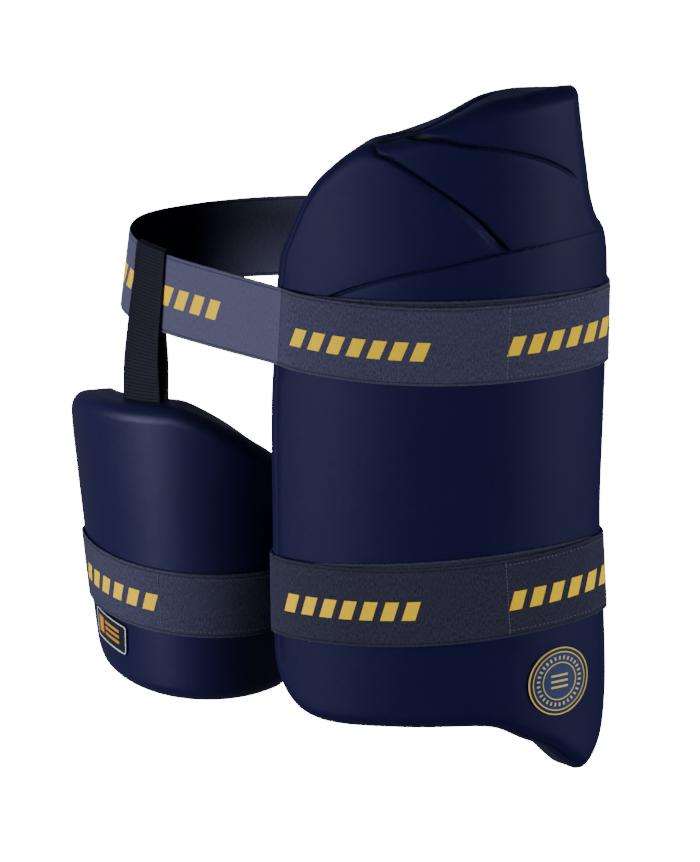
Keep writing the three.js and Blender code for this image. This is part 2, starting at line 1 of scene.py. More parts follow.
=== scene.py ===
"""A cricket batter's combination thigh guard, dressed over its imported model.

Metres, +Z up, with the middle of the waist belt's loop at the origin. The wearer faces -Y.
"""

import math

import bmesh
import bpy
import numpy as np
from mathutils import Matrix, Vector, geometry


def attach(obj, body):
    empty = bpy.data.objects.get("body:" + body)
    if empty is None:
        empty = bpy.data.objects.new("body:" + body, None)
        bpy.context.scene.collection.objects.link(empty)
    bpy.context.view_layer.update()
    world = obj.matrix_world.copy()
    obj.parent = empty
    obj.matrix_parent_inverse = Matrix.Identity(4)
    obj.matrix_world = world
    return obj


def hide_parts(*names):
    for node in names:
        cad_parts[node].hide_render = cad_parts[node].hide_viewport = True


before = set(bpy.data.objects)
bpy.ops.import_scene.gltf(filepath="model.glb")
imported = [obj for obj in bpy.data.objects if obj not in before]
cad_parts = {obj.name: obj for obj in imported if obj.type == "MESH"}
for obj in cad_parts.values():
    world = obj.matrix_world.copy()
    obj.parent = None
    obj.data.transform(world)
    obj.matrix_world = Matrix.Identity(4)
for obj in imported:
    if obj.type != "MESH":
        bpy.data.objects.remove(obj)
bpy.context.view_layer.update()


# The camera. It looks a little down on the wearer's left front, from so far away that upright lines stay
# upright, as in a catalogue picture.
degrees = math.pi / 180
picture_height = 862
metres_per_pixel = 0.00061
camera_distance = 10.0
camera_azimuth = 22 * degrees
camera_elevation = 18 * degrees
aim_right = -0.0077
aim_up = -0.0855

camera_right = np.array([math.cos(camera_azimuth), math.sin(camera_azimuth), 0])
camera_back = np.array([
    math.sin(camera_azimuth) * math.cos(camera_elevation),
    -math.cos(camera_azimuth) * math.cos(camera_elevation),
    math.sin(camera_elevation),
])
camera_up = np.cross(camera_back, camera_right)

camera = bpy.data.objects.new("camera", bpy.data.cameras.new("camera"))
camera.data.sensor_width = 36
camera.data.lens = 36 * camera_distance / (picture_height * metres_per_pixel)
camera.location = aim_right * camera_right + aim_up * camera_up + camera_distance * camera_back
camera.rotation_mode = "QUATERNION"
camera.rotation_quaternion = Vector(camera_back).to_track_quat("Z", "Y")
bpy.context.scene.collection.objects.link(camera)
bpy.context.scene.camera = camera


# The outer pad: moulded foam under a stretched navy cover, for the outside of the front thigh and the
# hip. It is one block with a rolled edge. Grooves and creases are pressed in where it bends at the hip,
# and two seams follow its edge.

# Its sizes. raised lifts its top far corner: by how much, and then the turn and the up that it starts
# at, each with the stretch that it takes to come in.
outer_pad = dict(
    centre=(0.032, 0.041), facing=22 * degrees, half_turn=53 * degrees,
    across=(0.110, 0.110), deep=(0.110, 0.110), top=0.151, height=0.436,
    thickness=0.024, roll=0.010, middle=(0, 0.44), raised=(0.0045, (0.45, 0.25), (0.93, 0.05)),
)

# Its outline anticlockwise from the top right, as seen from outside: turn, as a share of half_turn, and
# up, as a share of the height.
outer_outline = [
    (0.783, 0.986), (0.765, 0.9915), (0.72, 0.9935), (0.66, 0.996), (0.6, 0.998), (0.46, 1.001),
    (0.261, 0.9955), (0.013, 0.967),
    (-0.228, 0.944), (-0.404, 0.93), (-0.493, 0.914), (-0.573, 0.895), (-0.656, 0.873),
    (-0.744, 0.84), (-0.845, 0.787), (-0.896, 0.757), (-0.933, 0.697), (-0.943, 0.635),
    (-0.972, 0.535), (-0.967, 0.388), (-0.953, 0.2), (-0.94, 0.158), (-0.875, 0.118),
    (-0.764, 0.092), (-0.62, 0.082), (-0.21, 0.085), (0.2, 0.086), (0.316, 0.081),
    (0.45, 0.0625), (0.578, 0.0455), (0.72, 0.0145), (0.812, -0.001), (0.886, 0.009), (0.963, 0.04),
    (1.006, 0.106), (0.993, 0.24), (0.961, 0.366), (0.988, 0.534), (1.01, 0.69), (1, 0.765),
    (0.975, 0.79), (0.925, 0.808), (0.883, 0.836), (0.84, 0.9), (0.806, 0.956),
    (0.793, 0.976),
]

# Its grooves, left to right in the same terms, each with the widths of its upper and lower walls and its
# depth in millimetres: down from the rim, across the top, across the bend, under the rim and the well
# beside it.
outer_grooves = [
    [(-0.335, 0.952, 1, 1, 1), (-0.321, 0.934, 1, 1.2, 2.6), (-0.295, 0.926, 1.1, 1.8, 3),
     (-0.232, 0.919, 1.2, 2.4, 3.2), (-0.137, 0.904, 1.2, 2.8, 3.4), (-0.014, 0.88, 1.3, 3.4, 3.6),
     (0.099, 0.856, 1.4, 4, 4), (0.214, 0.828, 1.5, 4.6, 4.4), (0.29, 0.803, 1.6, 4.6, 4.4),
     (0.325, 0.792, 1.6, 3.4, 3.8), (0.35, 0.785, 1.2, 1, 2.4)],
    [(-0.19, 0.958, 1.4, 1.4, 2), (-0.15, 0.954, 3.4, 1.6, 3.6), (-0.093, 0.9525, 3.8, 1.4, 4),
     (0.011, 0.947, 3.4, 1.2, 3.6), (0.109, 0.94, 2.6, 1.2, 3), (0.315, 0.93, 1.8, 1.2, 2.4),
     (0.506, 0.913, 1.4, 1.4, 2.2), (0.591, 0.902, 1.2, 1.6, 1.9), (0.686, 0.885, 1.1, 1.6, 1.3),
     (0.742, 0.869, 1, 1.4, 0)],
    [(-0.6, 0.702, 1.1, 1.6, 2.4), (-0.521, 0.714, 1.1, 1.6, 2.4), (-0.381, 0.732, 1.1, 1.6, 2.4),
     (-0.147, 0.754, 1.1, 1.5, 2.3), (0.06, 0.766, 1.1, 1.4, 2.2), (0.254, 0.778, 1.1, 1.2, 2.2),
     (0.39, 0.783, 1, 1, 1.9), (0.534, 0.785, 0.8, 0.8, 1.3), (0.717, 0.787, 0.7, 0.8, 1.1),
     (0.94, 0.787, 0.7, 0.8, 0.9)],
    [(-0.36, 0.945, 1, 1, 0.8), (-0.252, 0.955, 1.2, 1.1, 1.8), (-0.187, 0.960, 1.2, 1.1, 1.8),
     (-0.112, 0.963, 1.1, 1, 1.6), (-0.034, 0.971, 1, 1, 1.4), (0.05, 0.983, 1, 1, 1.3),
     (0.114, 0.992, 1, 1, 1.4), (0.234, 1.007, 1.1, 1, 1.5), (0.315, 1.014, 1.1, 1, 1.2),
     (0.415, 1.017, 1, 1, 0)],
    [(-0.325, 0.944, 1.6, 1.2, 2), (-0.27, 0.946, 3.4, 1.4, 3.2), (-0.21, 0.951, 3.4, 1.4, 3.4),
     (-0.16, 0.956, 2.4, 1.2, 2.8), (-0.13, 0.959, 1.4, 1, 1.6)],
]

# Its seams, which follow the outline as the camera sees it: how far inside it they lie on the rolled edge,
# in degrees, their depth, and the stretches of turn and up that they take. One runs up the left edge and
# over the top left corner, the other round the bottom corner. Each line is also darkened as painted shade.
outer_seams = [
    (36, 0.0006, (-1.1, -0.42), (0.14, 1.1)),
    (45, 0.0006, (0.34, 0.78), (-0.1, 0.12)),
]
seam_width = 0.0009
seam_turn_fade = 0.08
seam_up_fade = 0.03

# How a groove's wall ends: the lip's share of the depth and how fast it fades, how far the painted shade in
# the valleys spills over, the share of the upper wall that it fades over and of the lower wall that it
# reaches, the depth from which the painted shade is darkest, and how far from a groove all this counts.
lip = 0.12
lip_fade = 0.0022
shade_spill = 0.0004
shade_fade = 0.5
shade_below = 0.2
shade_depth = 0.002
groove_reach = 0.012

# The rows of points beside a groove's route: the side, the share of the wall there, and how far past it.
# Then how far apart they stand along the route, and how near another point may come.
groove_rows = [
    (1, 0, 0), (1, 1, 0), (-1, 1, 0), (1, 1, 0.00035), (-1, 1, 0.00035), (1, 0.5, 0), (-1, 0.33, 0),
    (-1, 0.67, 0), (1, 1, 0.0015), (-1, 1, 0.0015), (1, 1, 0.0035), (-1, 1, 0.0035),
]
groove_step = 0.0010
groove_crowd = 0.0003

# The steps of the pads' meshes up the wall, round the roll and over the face, the share of a step that the
# face's own points keep clear, how many of them are compared at once, and half the chord that an edge's
# outward direction is square to.
wall_step = 0.0009
roll_step = 0.0007
face_step = 0.0036
face_clear = 0.7
batch = 400
chord_reach = 0.0135


def curve_through(rows, closed, steps=24):
    """A smooth line through the rows, a Catmull-Rom spline. In each span the knots are the running sums
    of the square roots of the chords, and straight lines through four rows are blended twice."""
    rows = np.asarray(rows, float)
    if closed:
        a, b, c, d = np.roll(rows, 1, 0), rows, np.roll(rows, -1, 0), np.roll(rows, -2, 0)
    else:
        held = np.vstack([2 * rows[0] - rows[1], rows, 2 * rows[-1] - rows[-2]])
        a, b, c, d = held[:-3], held[1:-2], held[2:-1], held[3:]
    first, second, third = (
        np.sqrt(np.linalg.norm(q - p, axis=1))[:, None, None] for p, q in ((a, b), (b, c), (c, d))
    )
    k1, k2, k3 = first, first + second, first + second + third
    t = k1 + second * np.linspace(0, 1, steps, endpoint=False)[None, :, None]
    a, b, c, d = (p[:, None, :] for p in (a, b, c, d))
    ab = ((k1 - t) * a + t * b) / k1
    bc = ((k2 - t) * b + (t - k1) * c) / second
    cd = ((k3 - t) * c + (t - k2) * d) / third
    abc = ((k2 - t) * ab + t * bc) / k2
    bcd = ((k3 - t) * bc + (t - k1) * cd) / (k3 - k1)
    line = (((k2 - t) * abc + (t - k1) * bcd) / second).reshape(-1, rows.shape[1])
    return line if closed else np.vstack([line, rows[-1:]])


def run_of(line, closed):
    """The distance from the start to each point of a line, with the way back to the start if closed."""
    ends = np.vstack([line, line[:1]]) if closed else line
    return np.concatenate([[0], np.cumsum(np.linalg.norm(np.diff(ends, axis=0), axis=1))])


def points_at(line, distances, closed):
    """The points of a line at given distances along it, between its own points in straight steps."""
    run = run_of(line, closed)
    ends = np.vstack([line, line[:1]]) if closed else line
    distances = np.mod(distances, run[-1]) if closed else distances
    return np.stack([np.interp(distances, run, column) for column in ends.T], -1)


def pattern_radius(pad):
    """The radius that turns are unrolled with, the mean of the half sizes at the pad's top."""
    return (pad["across"][0] + pad["deep"][0]) / 2


def flat_rows(pad, rows):
    """Rows of turn and up as places on the pad's flat pattern: x is turn times the pattern's radius, y is
    the height. Further columns are kept."""
    rows = np.asarray(rows, float).copy()
    rows[:, 0] *= pad["half_turn"] * pattern_radius(pad)
    rows[:, 1] = pad["top"] - pad["height"] * (1 - rows[:, 1])
    return rows


def turn_and_up(pad, flat):
    """The way back: turn as a share of half_turn, and up as a share of the height."""
    turn = flat[:, 0] / pattern_radius(pad) / pad["half_turn"]
    return turn, 1 - (pad["top"] - flat[:, 1]) / pad["height"]


def in_plan(frame_of, across, deep, height):
    """A point given across a pad's facing and behind its centre, turned by the facing."""
    cos, sin = math.cos(frame_of["facing"]), math.sin(frame_of["facing"])
    x = frame_of["centre"][0] + across * cos - deep * sin
    y = frame_of["centre"][1] + across * sin + deep * cos
    return np.stack([x, y, np.broadcast_to(height, np.shape(x))], -1)


def half_sizes(pad, height, lift):
    """A pad's half sizes, across and deep: they change evenly from its top to its bottom, and both grow
    by lift."""
    down = (pad["top"] - height) / pad["height"]
    return [top * (1 - down) + bottom * down + lift for top, bottom in (pad["across"], pad["deep"])]


def on_pad(pad, turn, height, lift):
    """A point of a pad's curved wall: an ellipse about an upright axis, of the half sizes there."""
    across, deep = half_sizes(pad, height, lift)
    return in_plan(pad, across * np.sin(turn), -deep * np.cos(turn), height)


def on_pattern(pad, flat, lift):
    """The same point from its place on the flat pattern."""
    return on_pad(pad, flat[:, 0] / pattern_radius(pad), flat[:, 1], lift)


def groove_route(pad, groove):
    """A groove's smooth route on the flat pattern, with its widths and depth in metres."""
    rows = flat_rows(pad, groove)
    rows[:, 2:] /= 1000
    return curve_through(rows, False, 12)


def groove_depth(pad, grooves, flat, lift):
    """How far each place is pressed in, and how dark the painted shade in the grooves makes the cloth there,
    from 0 to 1. For each groove the depth falls in a straight line from its route to the width of its wall
    on that side, where it steps down to the lip, which fades by an exponential, and the deepest groove wins.
    The painted shade covers the upper wall, and the lower one next to the route. Places on the rolled edge
    count where the camera sees them, higher by the tangent of its elevation for each part of lift."""
    seen = flat[:, :2].copy()
    seen[:, 1] += (pad["thickness"] - lift) * math.tan(camera_elevation) * np.cos(
        flat[:, 0] / pattern_radius(pad))
    depth = np.zeros(len(flat))
    painted_shade = np.zeros(len(flat))
    for groove in grooves:
        route = groove_route(pad, groove)
        ahead = np.gradient(route[:, :2], axis=0)
        ahead /= np.linalg.norm(ahead, axis=1)[:, None]
        low, high = route[:, :2].min(0) - groove_reach, route[:, :2].max(0) + groove_reach
        near = np.flatnonzero(((seen > low) & (seen < high)).all(1))
        away = seen[near][:, None, :] - route[None, :, :2]
        distance = np.linalg.norm(away, axis=2)
        nearest = distance.argmin(1)
        distance = distance[np.arange(len(near)), nearest]
        away = away[np.arange(len(near)), nearest]
        above = ahead[nearest, 0] * away[:, 1] - ahead[nearest, 1] * away[:, 0] > 0
        width = np.where(above, route[nearest, 2], route[nearest, 3])
        wall = np.clip(1 - distance / width, 0, 1)
        beyond = lip * np.exp(-np.clip(distance - width, 0, None) / lip_fade) * (wall == 0)
        pressed = (1 - lip) * wall + beyond + lip * (wall > 0)
        depth[near] = np.maximum(depth[near], route[nearest, 4] * pressed)
        # Painted shade: the cloth is darkened in the groove's bottom and up its upper wall, where shade
        # falls.
        crease_shade = np.where(above, (width + shade_spill - distance) / (shade_fade * width),
                        1 - distance / (shade_below * width + shade_spill))
        crease_shade = np.clip(crease_shade, 0, 1) * np.clip(route[nearest, 4] / shade_depth, 0, 1)
        painted_shade[near] = np.maximum(painted_shade[near], crease_shade)
    return depth, painted_shade


def spokes_of(pad, outline, fine, coarse, fine_above):
    """The outline in steps: fine ones where up is over fine_above, coarse ones elsewhere. The outward
    direction at each is square to the chord between the points before and after it."""
    line = curve_through(flat_rows(pad, outline), True)
    run = run_of(line, True)
    up = turn_and_up(pad, np.vstack([line, line[:1]]))[1]
    crowd = np.where(up > fine_above, 1 / fine, 1 / coarse)
    counted = np.concatenate([[0], np.cumsum(np.diff(run) * (crowd[1:] + crowd[:-1]) / 2)])
    count = int(counted[-1])
    places = np.interp(np.arange(count) * counted[-1] / count, counted, run)
    chord = points_at(line, places + chord_reach, True) - points_at(line, places - chord_reach, True)
    outward = np.stack([chord[:, 1], -chord[:, 0]], -1)
    return points_at(line, places, True), outward / np.linalg.norm(outward, axis=1)[:, None]


def edge_steps(pad):
    """The rolled edge's section: up the wall, then a quarter circle on to the face. Columns are how far
    each step is drawn in, its lift, and how far its outward direction leans out and up."""
    roll = pad["roll"]
    straight = pad["thickness"] - roll
    lifts = np.linspace(0, straight, int(straight / wall_step) + 1)[:-1]
    wall = np.stack([0 * lifts, lifts, 1 + 0 * lifts, 0 * lifts], -1)
    angles = np.linspace(0, math.pi / 2, int(roll * math.pi / 2 / roll_step) + 1)
    arc = np.stack([
        roll * (1 - np.cos(angles)), straight + roll * np.sin(angles), np.cos(angles), np.sin(angles),
    ], -1)
    return np.vstack([wall, arc])


def face_points(pad, rim, grooves):
    """Places inside the rim for the face's triangles: rows beside each groove at its walls' feet, middles
    and lips, then an even grid, each left out where it crowds what is there already."""
    middle = flat_rows(pad, [pad["middle"]])[0]
    spoke = rim - middle
    order = np.argsort(np.arctan2(spoke[:, 1], spoke[:, 0]))
    angles = np.arctan2(spoke[:, 1], spoke[:, 0])[order]
    radii = np.linalg.norm(spoke, axis=1)[order]
    groups = []
    for groove in grooves:
        route = groove_route(pad, groove)
        route = points_at(route, np.arange(0, run_of(route, False)[-1], groove_step), False)
        ahead = np.gradient(route[:, :2], axis=0)
        aside = np.stack([-ahead[:, 1], ahead[:, 0]], -1) / np.linalg.norm(ahead, axis=1)[:, None]
        for side, share, past in groove_rows:
            offset = side * (share * route[:, 2 if side > 0 else 3] + past)
            groups.append((route[:, :2] + aside * offset[:, None], groove_crowd))
    low, high = rim.min(0), rim.max(0)
    x, y = np.meshgrid(np.arange(low[0], high[0], face_step), np.arange(low[1], high[1], face_step))
    groups.append((np.stack([x.ravel(), y.ravel()], -1), face_step * face_clear))
    kept = rim
    for points, crowd in groups:
        away = points - middle
        edge = np.interp(np.arctan2(away[:, 1], away[:, 0]), angles, radii, period=2 * math.pi)
        points = points[np.linalg.norm(away, axis=1) < edge - max(crowd, 2 * groove_crowd)]
        parts = np.array_split(points, max(1, len(points) // batch))
        clear = [
            part[np.linalg.norm(part[:, None, :] - kept[None, :, :], axis=2).min(1) > crowd]
            for part in parts if len(part)
        ]
        kept = np.vstack([kept, *clear])
    return kept[len(rim):]


def new_piece(name, points, faces, node, patterns):
    """A smooth closed mesh from its points and faces. patterns holds a place on the flat pattern for
    each point, or for each corner of each face, in metres, and becomes the UV map."""
    mesh = bpy.data.meshes.new(name)
    mesh.from_pydata(points.tolist(), [], [face.tolist() for group in faces for face in group])
    corners = np.empty(len(mesh.loops), int)
    mesh.loops.foreach_get("vertex_index", corners)
    places = patterns if len(patterns) == len(corners) else patterns[corners]
    uv = mesh.uv_layers.new(name="pattern")
    uv.data.foreach_set("uv", np.ascontiguousarray(places, np.float32).ravel())
    shell = bmesh.new()
    shell.from_mesh(mesh)
    bmesh.ops.recalc_face_normals(shell, faces=shell.faces)
    shell.to_mesh(mesh)
    shell.free()
    mesh.shade_smooth()
    piece = bpy.data.objects.new(name, mesh)
    bpy.context.scene.collection.objects.link(piece)
    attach(piece, "root")
    if node:
        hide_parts(node)
    return piece


def ring_quads(rings, count):
    """Quads between neighbouring rings of count points, each ring closed on itself."""
    r, i = np.meshgrid(np.arange(rings - 1), np.arange(count), indexing="ij")
    j = (i + 1) % count
    quads = np.stack([r * count + i, r * count + j, (r + 1) * count + j, (r + 1) * count + i], -1)
    return quads.reshape(-1, 4)


def fan(ring, tip):
    """Triangles from a ring of points to a tip."""
    return np.stack([ring, np.roll(ring, -1), np.full(len(ring), tip)], -1)


def edge_angles(pad, section, edge, outward):
    """How far round the rolled edge each place lies past the brink, where the camera's view just grazes
    it. The brink is the arctangent of how far the outward direction is turned from the camera over how
    far the face is turned to it."""
    turn = edge[:, 0] / pattern_radius(pad) - camera_azimuth + pad["facing"]
    seen_edge = -outward[:, 0] * np.sin(turn) * math.cos(camera_elevation)
    seen_edge += outward[:, 1] * math.sin(camera_elevation)
    brink = np.arctan2(-seen_edge, np.cos(turn) * math.cos(camera_elevation))
    return np.arctan2(section[:, 3], section[:, 2])[:, None] - np.clip(brink, 0, None)[None]


def stretch_share(place, stretch, fade):
    """1 inside a stretch, falling to 0 in a straight line within fade of either end."""
    return np.clip((place - stretch[0]) / fade, 0, 1) * np.clip((stretch[1] - place) / fade, 0, 1)


def pad_piece(name, pad, outline, grooves, seams, steps, node):
    """A pad: rings up its rolled edge, a face of triangles between the grooves' rows, and a plain back.
    Each point is drawn in along its own outward direction by the depth of the grooves and seams there.
    A raised corner rises in a straight line with the lift."""
    edge, outward = spokes_of(pad, outline, *steps)
    count = len(edge)
    turn, high = turn_and_up(pad, edge)
    section = edge_steps(pad)
    flat = (edge[None] - section[:, None, :1] * outward[None]).reshape(-1, 2)
    lift, out, up = np.repeat(section[:, 1:], count, axis=0).T
    if "raised" in pad:
        rise, (turn_from, turn_fade), (up_from, up_fade) = pad["raised"]
        share = np.clip((turn - turn_from) / turn_fade, 0, 1) * np.clip((high - up_from) / up_fade, 0, 1)
        wall_share = np.clip(lift / (pad["thickness"] - pad["roll"]), 0, 1)
        flat[:, 1] += rise * np.tile(share, len(section)) * wall_share
    depth, ring_painted_shade = groove_depth(pad, grooves, flat, lift)
    away = edge_angles(pad, section, edge, outward)
    # Each seam is drawn in, and its line is darkened too, as painted shade.
    for clear, sunk, turns, ups in seams:
        share = stretch_share(turn, turns, seam_turn_fade) * stretch_share(high, ups, seam_up_fade)
        line = np.clip(1 - np.abs(away - clear * degrees) * pad["roll"] / seam_width, 0, 1)
        line = (line * share).ravel()
        depth += sunk * line
        ring_painted_shade = np.maximum(ring_painted_shade, line)
    dented = flat - np.tile(outward, (len(section), 1)) * (depth * out)[:, None]
    rings = on_pattern(pad, dented, lift - depth * up)

    rim = flat[-count:]
    inside = face_points(pad, rim, grooves)
    sunk, face_painted_shade = groove_depth(pad, grooves, inside, np.full(len(inside), pad["thickness"]))
    face = on_pattern(pad, inside, pad["thickness"] - sunk)
    loose = np.vstack([rim, inside])
    made = geometry.delaunay_2d_cdt([Vector(p) for p in loose], [], [list(range(count))], 1, 1e-7)
    source = np.array([orig[0] for orig in made[3]])
    triangles = source[np.array(made[2])] + (len(section) - 1) * count

    middle = flat_rows(pad, [pad["middle"]])
    backs = [middle + (edge - middle) * share for share in (0.75, 0.5, 0.25)]
    back_flat = np.vstack([*backs, middle])
    start = len(rings) + len(face)
    joined = np.concatenate([np.arange(count), start + np.arange(3 * count)])

    points = np.vstack([rings, face, on_pattern(pad, back_flat, 0)])
    unrolled = run_of(section[:, :2], False)
    spread = unrolled[-1] - unrolled - pad["roll"]
    cloth = (edge[None] + spread[:, None, None] * outward[None]).reshape(-1, 2)
    patterns = np.vstack([cloth, inside, back_flat])
    faces = [ring_quads(len(section), count), triangles, joined[ring_quads(4, count)],
             fan(joined[-count:], start + 3 * count)]
    piece = new_piece(name, points, faces, node, patterns)
    # The attribute carries the painted shade of the grooves and seams to the cover's colour.
    painted_shade = np.concatenate([ring_painted_shade, face_painted_shade, np.zeros(len(back_flat))])
    piece.data.attributes.new("painted_shade", "FLOAT", "POINT").data.foreach_set("value", painted_shade.astype(np.float32))
    return piece


def feed(tree, socket, value):
    """Joins another node's output to a socket, or sets its own value. A colour is red, green and blue."""
    if isinstance(value, bpy.types.NodeSocket):
        tree.links.new(value, socket)
    elif socket.type == "RGBA":
        socket.default_value = (*value, 1)
    else:
        socket.default_value = value


def node_in(tree, kind, operation="", **inputs):
    """A node of the kind, with its inputs fed by name, or by number after a low line."""
    made = tree.nodes.new(kind)
    if operation:
        made.operation = operation
    for name, value in inputs.items():
        feed(tree, made.inputs[int(name[1:]) if name[0] == "_" else name], value)
    return made


def maths(tree, operation, first, *rest):
    """A Math node's result. More than two values are joined one after another."""
    if not rest:
        return node_in(tree, "ShaderNodeMath", operation, _0=first).outputs[0]
    for value in rest:
        first = node_in(tree, "ShaderNodeMath", operation, _0=first, _1=value).outputs[0]
    return first


def weighed(tree, *parts):
    """The sum of values, each times its weight."""
    return maths(tree, "ADD", *[maths(tree, "MULTIPLY", value, weight) for value, weight in parts])


def wave(tree, place, length):
    """A sine wave of a length, along a coordinate."""
    return maths(tree, "SINE", maths(tree, "MULTIPLY", place, 2 * math.pi / length))


def mixed(tree, share, first, second):
    """A colour between two, by share."""
    made = tree.nodes.new("ShaderNodeMix")
    made.data_type = "RGBA"
    for place, value in ((0, share), (6, first), (7, second)):
        feed(tree, made.inputs[place], value)
    return made.outputs[2]


def new_material(name, roughness, specular, sheen=0.0, sheen_tint=(1, 1, 1), sheen_roughness=0.5):
    """A material with a bare Principled shader, whose plain numbers are set on the shader's own sockets."""
    material = bpy.data.materials.new(name)
    material.use_nodes = True
    tree = material.node_tree
    shader = tree.nodes["Principled BSDF"]
    plain = {"Roughness": roughness, "Specular IOR Level": specular, "Sheen Weight": sheen,
             "Sheen Roughness": sheen_roughness, "Sheen Tint": sheen_tint}
    for socket, value in plain.items():
        feed(tree, shader.inputs[socket], value)
    return material, tree, shader


def pattern_xy(tree):
    """The place on the piece's flat pattern, and its two coordinates in metres."""
    coordinates = node_in(tree, "ShaderNodeUVMap")
    coordinates.uv_map = "pattern"
    split = node_in(tree, "ShaderNodeSeparateXYZ", _0=coordinates.outputs[0])
    return coordinates.outputs[0], split.outputs[0], split.outputs[1]


def noise_at(tree, where, size, detail=2.0):
    """Noise whose blotches are about size metres across."""
    return node_in(tree, "ShaderNodeTexNoise", Vector=where, Scale=1 / size, Detail=detail).outputs["Fac"]


def bumped(tree, shader, height, distance):
    """Joins a height, from 0 to 1, to the shader as a bump distance metres deep."""
    bump = node_in(tree, "ShaderNodeBump", Strength=1.0, Distance=distance, Height=height)
    feed(tree, shader.inputs["Normal"], bump.outputs[0])


def cover_material(name, specular, roughness):
    """Smooth navy stretch cloth: a fine knit in crossing waves, cloudy shade, which also varies the
    roughness, and painted shade that makes groove valleys and seams nearly black where its attribute says
    so."""
    material, tree, shader = new_material(name, 0.5, specular, 0.04, (0.30, 0.38, 0.9), 0.45)
    feed(tree, shader.inputs["Specular Tint"], (0.68, 0.71, 1))
    where, x, y = pattern_xy(tree)
    knit = maths(tree, "MULTIPLY", wave(tree, x, 0.0007), wave(tree, y, 0.0009))
    cloud = noise_at(tree, where, 0.05, 3)
    grain = noise_at(tree, where, 0.0012, 3)
    shade = weighed(tree, (cloud, 0.5), (grain, 0.5))
    navy = mixed(tree, shade, (0.0046, 0.0042, 0.029), (0.0080, 0.0074, 0.049))
    # Painted shade: groove valleys and seams turn nearly black where the attribute says so.
    painted_shade = node_in(tree, "ShaderNodeAttribute")
    painted_shade.attribute_name = "painted_shade"
    painted_valley_shade = maths(tree, "MULTIPLY", painted_shade.outputs["Fac"], 0.85)
    feed(tree, shader.inputs["Base Color"], mixed(tree, painted_valley_shade, navy, (0.0006, 0.0006, 0.003)))
    rough = maths(tree, "ADD", maths(tree, "MULTIPLY", cloud, 0.13), roughness)
    feed(tree, shader.inputs["Roughness"], rough)
    bumped(tree, shader, weighed(tree, (knit, 0.35), (grain, 1)), 0.00006)
    return material


outer_cover = pad_piece("outer_pad_cover", outer_pad, outer_outline, outer_grooves, outer_seams,
                        (0.0011, 0.003, 0.68), "outer_pad")
outer_cover.data.materials.append(cover_material("navy_cover", 0.09, 0.42))


# The inner pad: the same foam and cover, smaller and more deeply curved, for the inside of the back
# thigh. It narrows towards the knee and its top slopes down beside the outer pad.
inner_pad = dict(
    centre=(-0.117, 0.029), facing=22 * degrees, half_turn=90 * degrees,
    across=(0.0637, 0.0425), deep=(0.077, 0.064), top=-0.069, height=0.193,
    thickness=0.022, roll=0.010, middle=(-0.15, 0.48),
)
inner_outline = [
    (-1, 0.72), (-1, 0.45), (-0.99, 0.2), (-0.94, 0.085), (-0.82, 0.035), (-0.6, 0.018),
    (-0.3, 0.008), (0, 0.003), (0.42, 0), (0.59, 0.004), (0.66, 0.035), (0.672, 0.12),
    (0.655, 0.35), (0.625, 0.54),
    (0.57, 0.67), (0.5, 0.755), (0.4, 0.817), (0.266, 0.877), (0.128, 0.932), (-0.03, 0.98),
    (-0.14, 1), (-0.38, 0.99), (-0.66, 0.972), (-0.81, 0.955), (-0.91, 0.92), (-0.97, 0.86),
]
inner_cover = pad_piece("inner_pad_cover", inner_pad, inner_outline, [], [],
                        (0.0025, 0.0025, 0.5), "inner_pad")
inner_cover.data.materials.append(cover_material("inner_navy_cover", 0.24, 0.34))


# The linings: dark brushed cloth on each pad's inner face, turned over a thin wadding at its edge and
# stitched on all round, which leaves a low ridge.
lining_gap = 0.00035
lining_thickness = 0.0025
lining_ridge = 0.0006
lining_step = 0.003


def lining_piece(name, pad, outline, node):
    """A lining: a sheet whose edge is a half circle, with a low ridge where its stitching runs. Rows of
    its section are how far it is drawn in and its lift, and rings shrink evenly over both its sides."""
    edge, outward = spokes_of(pad, outline, lining_step, lining_step, 2)
    half = lining_thickness / 2
    low = [(0.0085, -half), (0.006, -half), (0.005, -half - lining_ridge), (0.004, -half)]
    turned = [(half * (1 - math.cos(a)), half * math.sin(a)) for a in np.linspace(-90, 90, 7) * degrees]
    high = [(inset, half) for inset in (0.004, 0.006, 0.0085)]
    rows = np.array(low + turned + high)
    count = len(edge)
    flat = (edge[None] - rows[:, None, :1] * outward[None]).reshape(-1, 2)
    rings = on_pattern(pad, flat, np.repeat(rows[:, 1], count) - lining_gap - half)
    middle = flat_rows(pad, [pad["middle"]])
    shares = np.linspace(1, 0, 14)[1:-1]
    points, patterns, faces = [rings], [flat], [ring_quads(len(rows), count)]
    start = len(rings)
    for first, height in ((0, -lining_gap - 2 * half), (len(rings) - count, -lining_gap)):
        ring = flat[first:first + count]
        disc = np.vstack([middle + (ring - middle) * share for share in shares] + [middle])
        points.append(on_pattern(pad, disc, height))
        patterns.append(disc)
        joined = np.concatenate([first + np.arange(count), start + np.arange(len(shares) * count)])
        faces.append(joined[ring_quads(len(shares) + 1, count)])
        faces.append(fan(joined[-count:], start + len(disc) - 1))
        start += len(disc)
    return new_piece(name, np.vstack(points), faces, node, np.vstack(patterns))


def lining_material():
    """Dark brushed cloth: short nap in two sizes of noise over a faint rib."""
    material, tree, shader = new_material("lining_cloth", 0.95, 0.2, 0.25, (0.5, 0.55, 0.75), 0.6)
    where, x, _ = pattern_xy(tree)
    nap = noise_at(tree, where, 0.0016, 4)
    shade = weighed(tree, (nap, 0.6), (noise_at(tree, where, 0.03), 0.4))
    colour = mixed(tree, shade, (0.010, 0.011, 0.022), (0.034, 0.037, 0.062))
    feed(tree, shader.inputs["Base Color"], colour)
    bumped(tree, shader, weighed(tree, (nap, 1), (wave(tree, x, 0.0024), 0.3)), 0.0003)
    return material


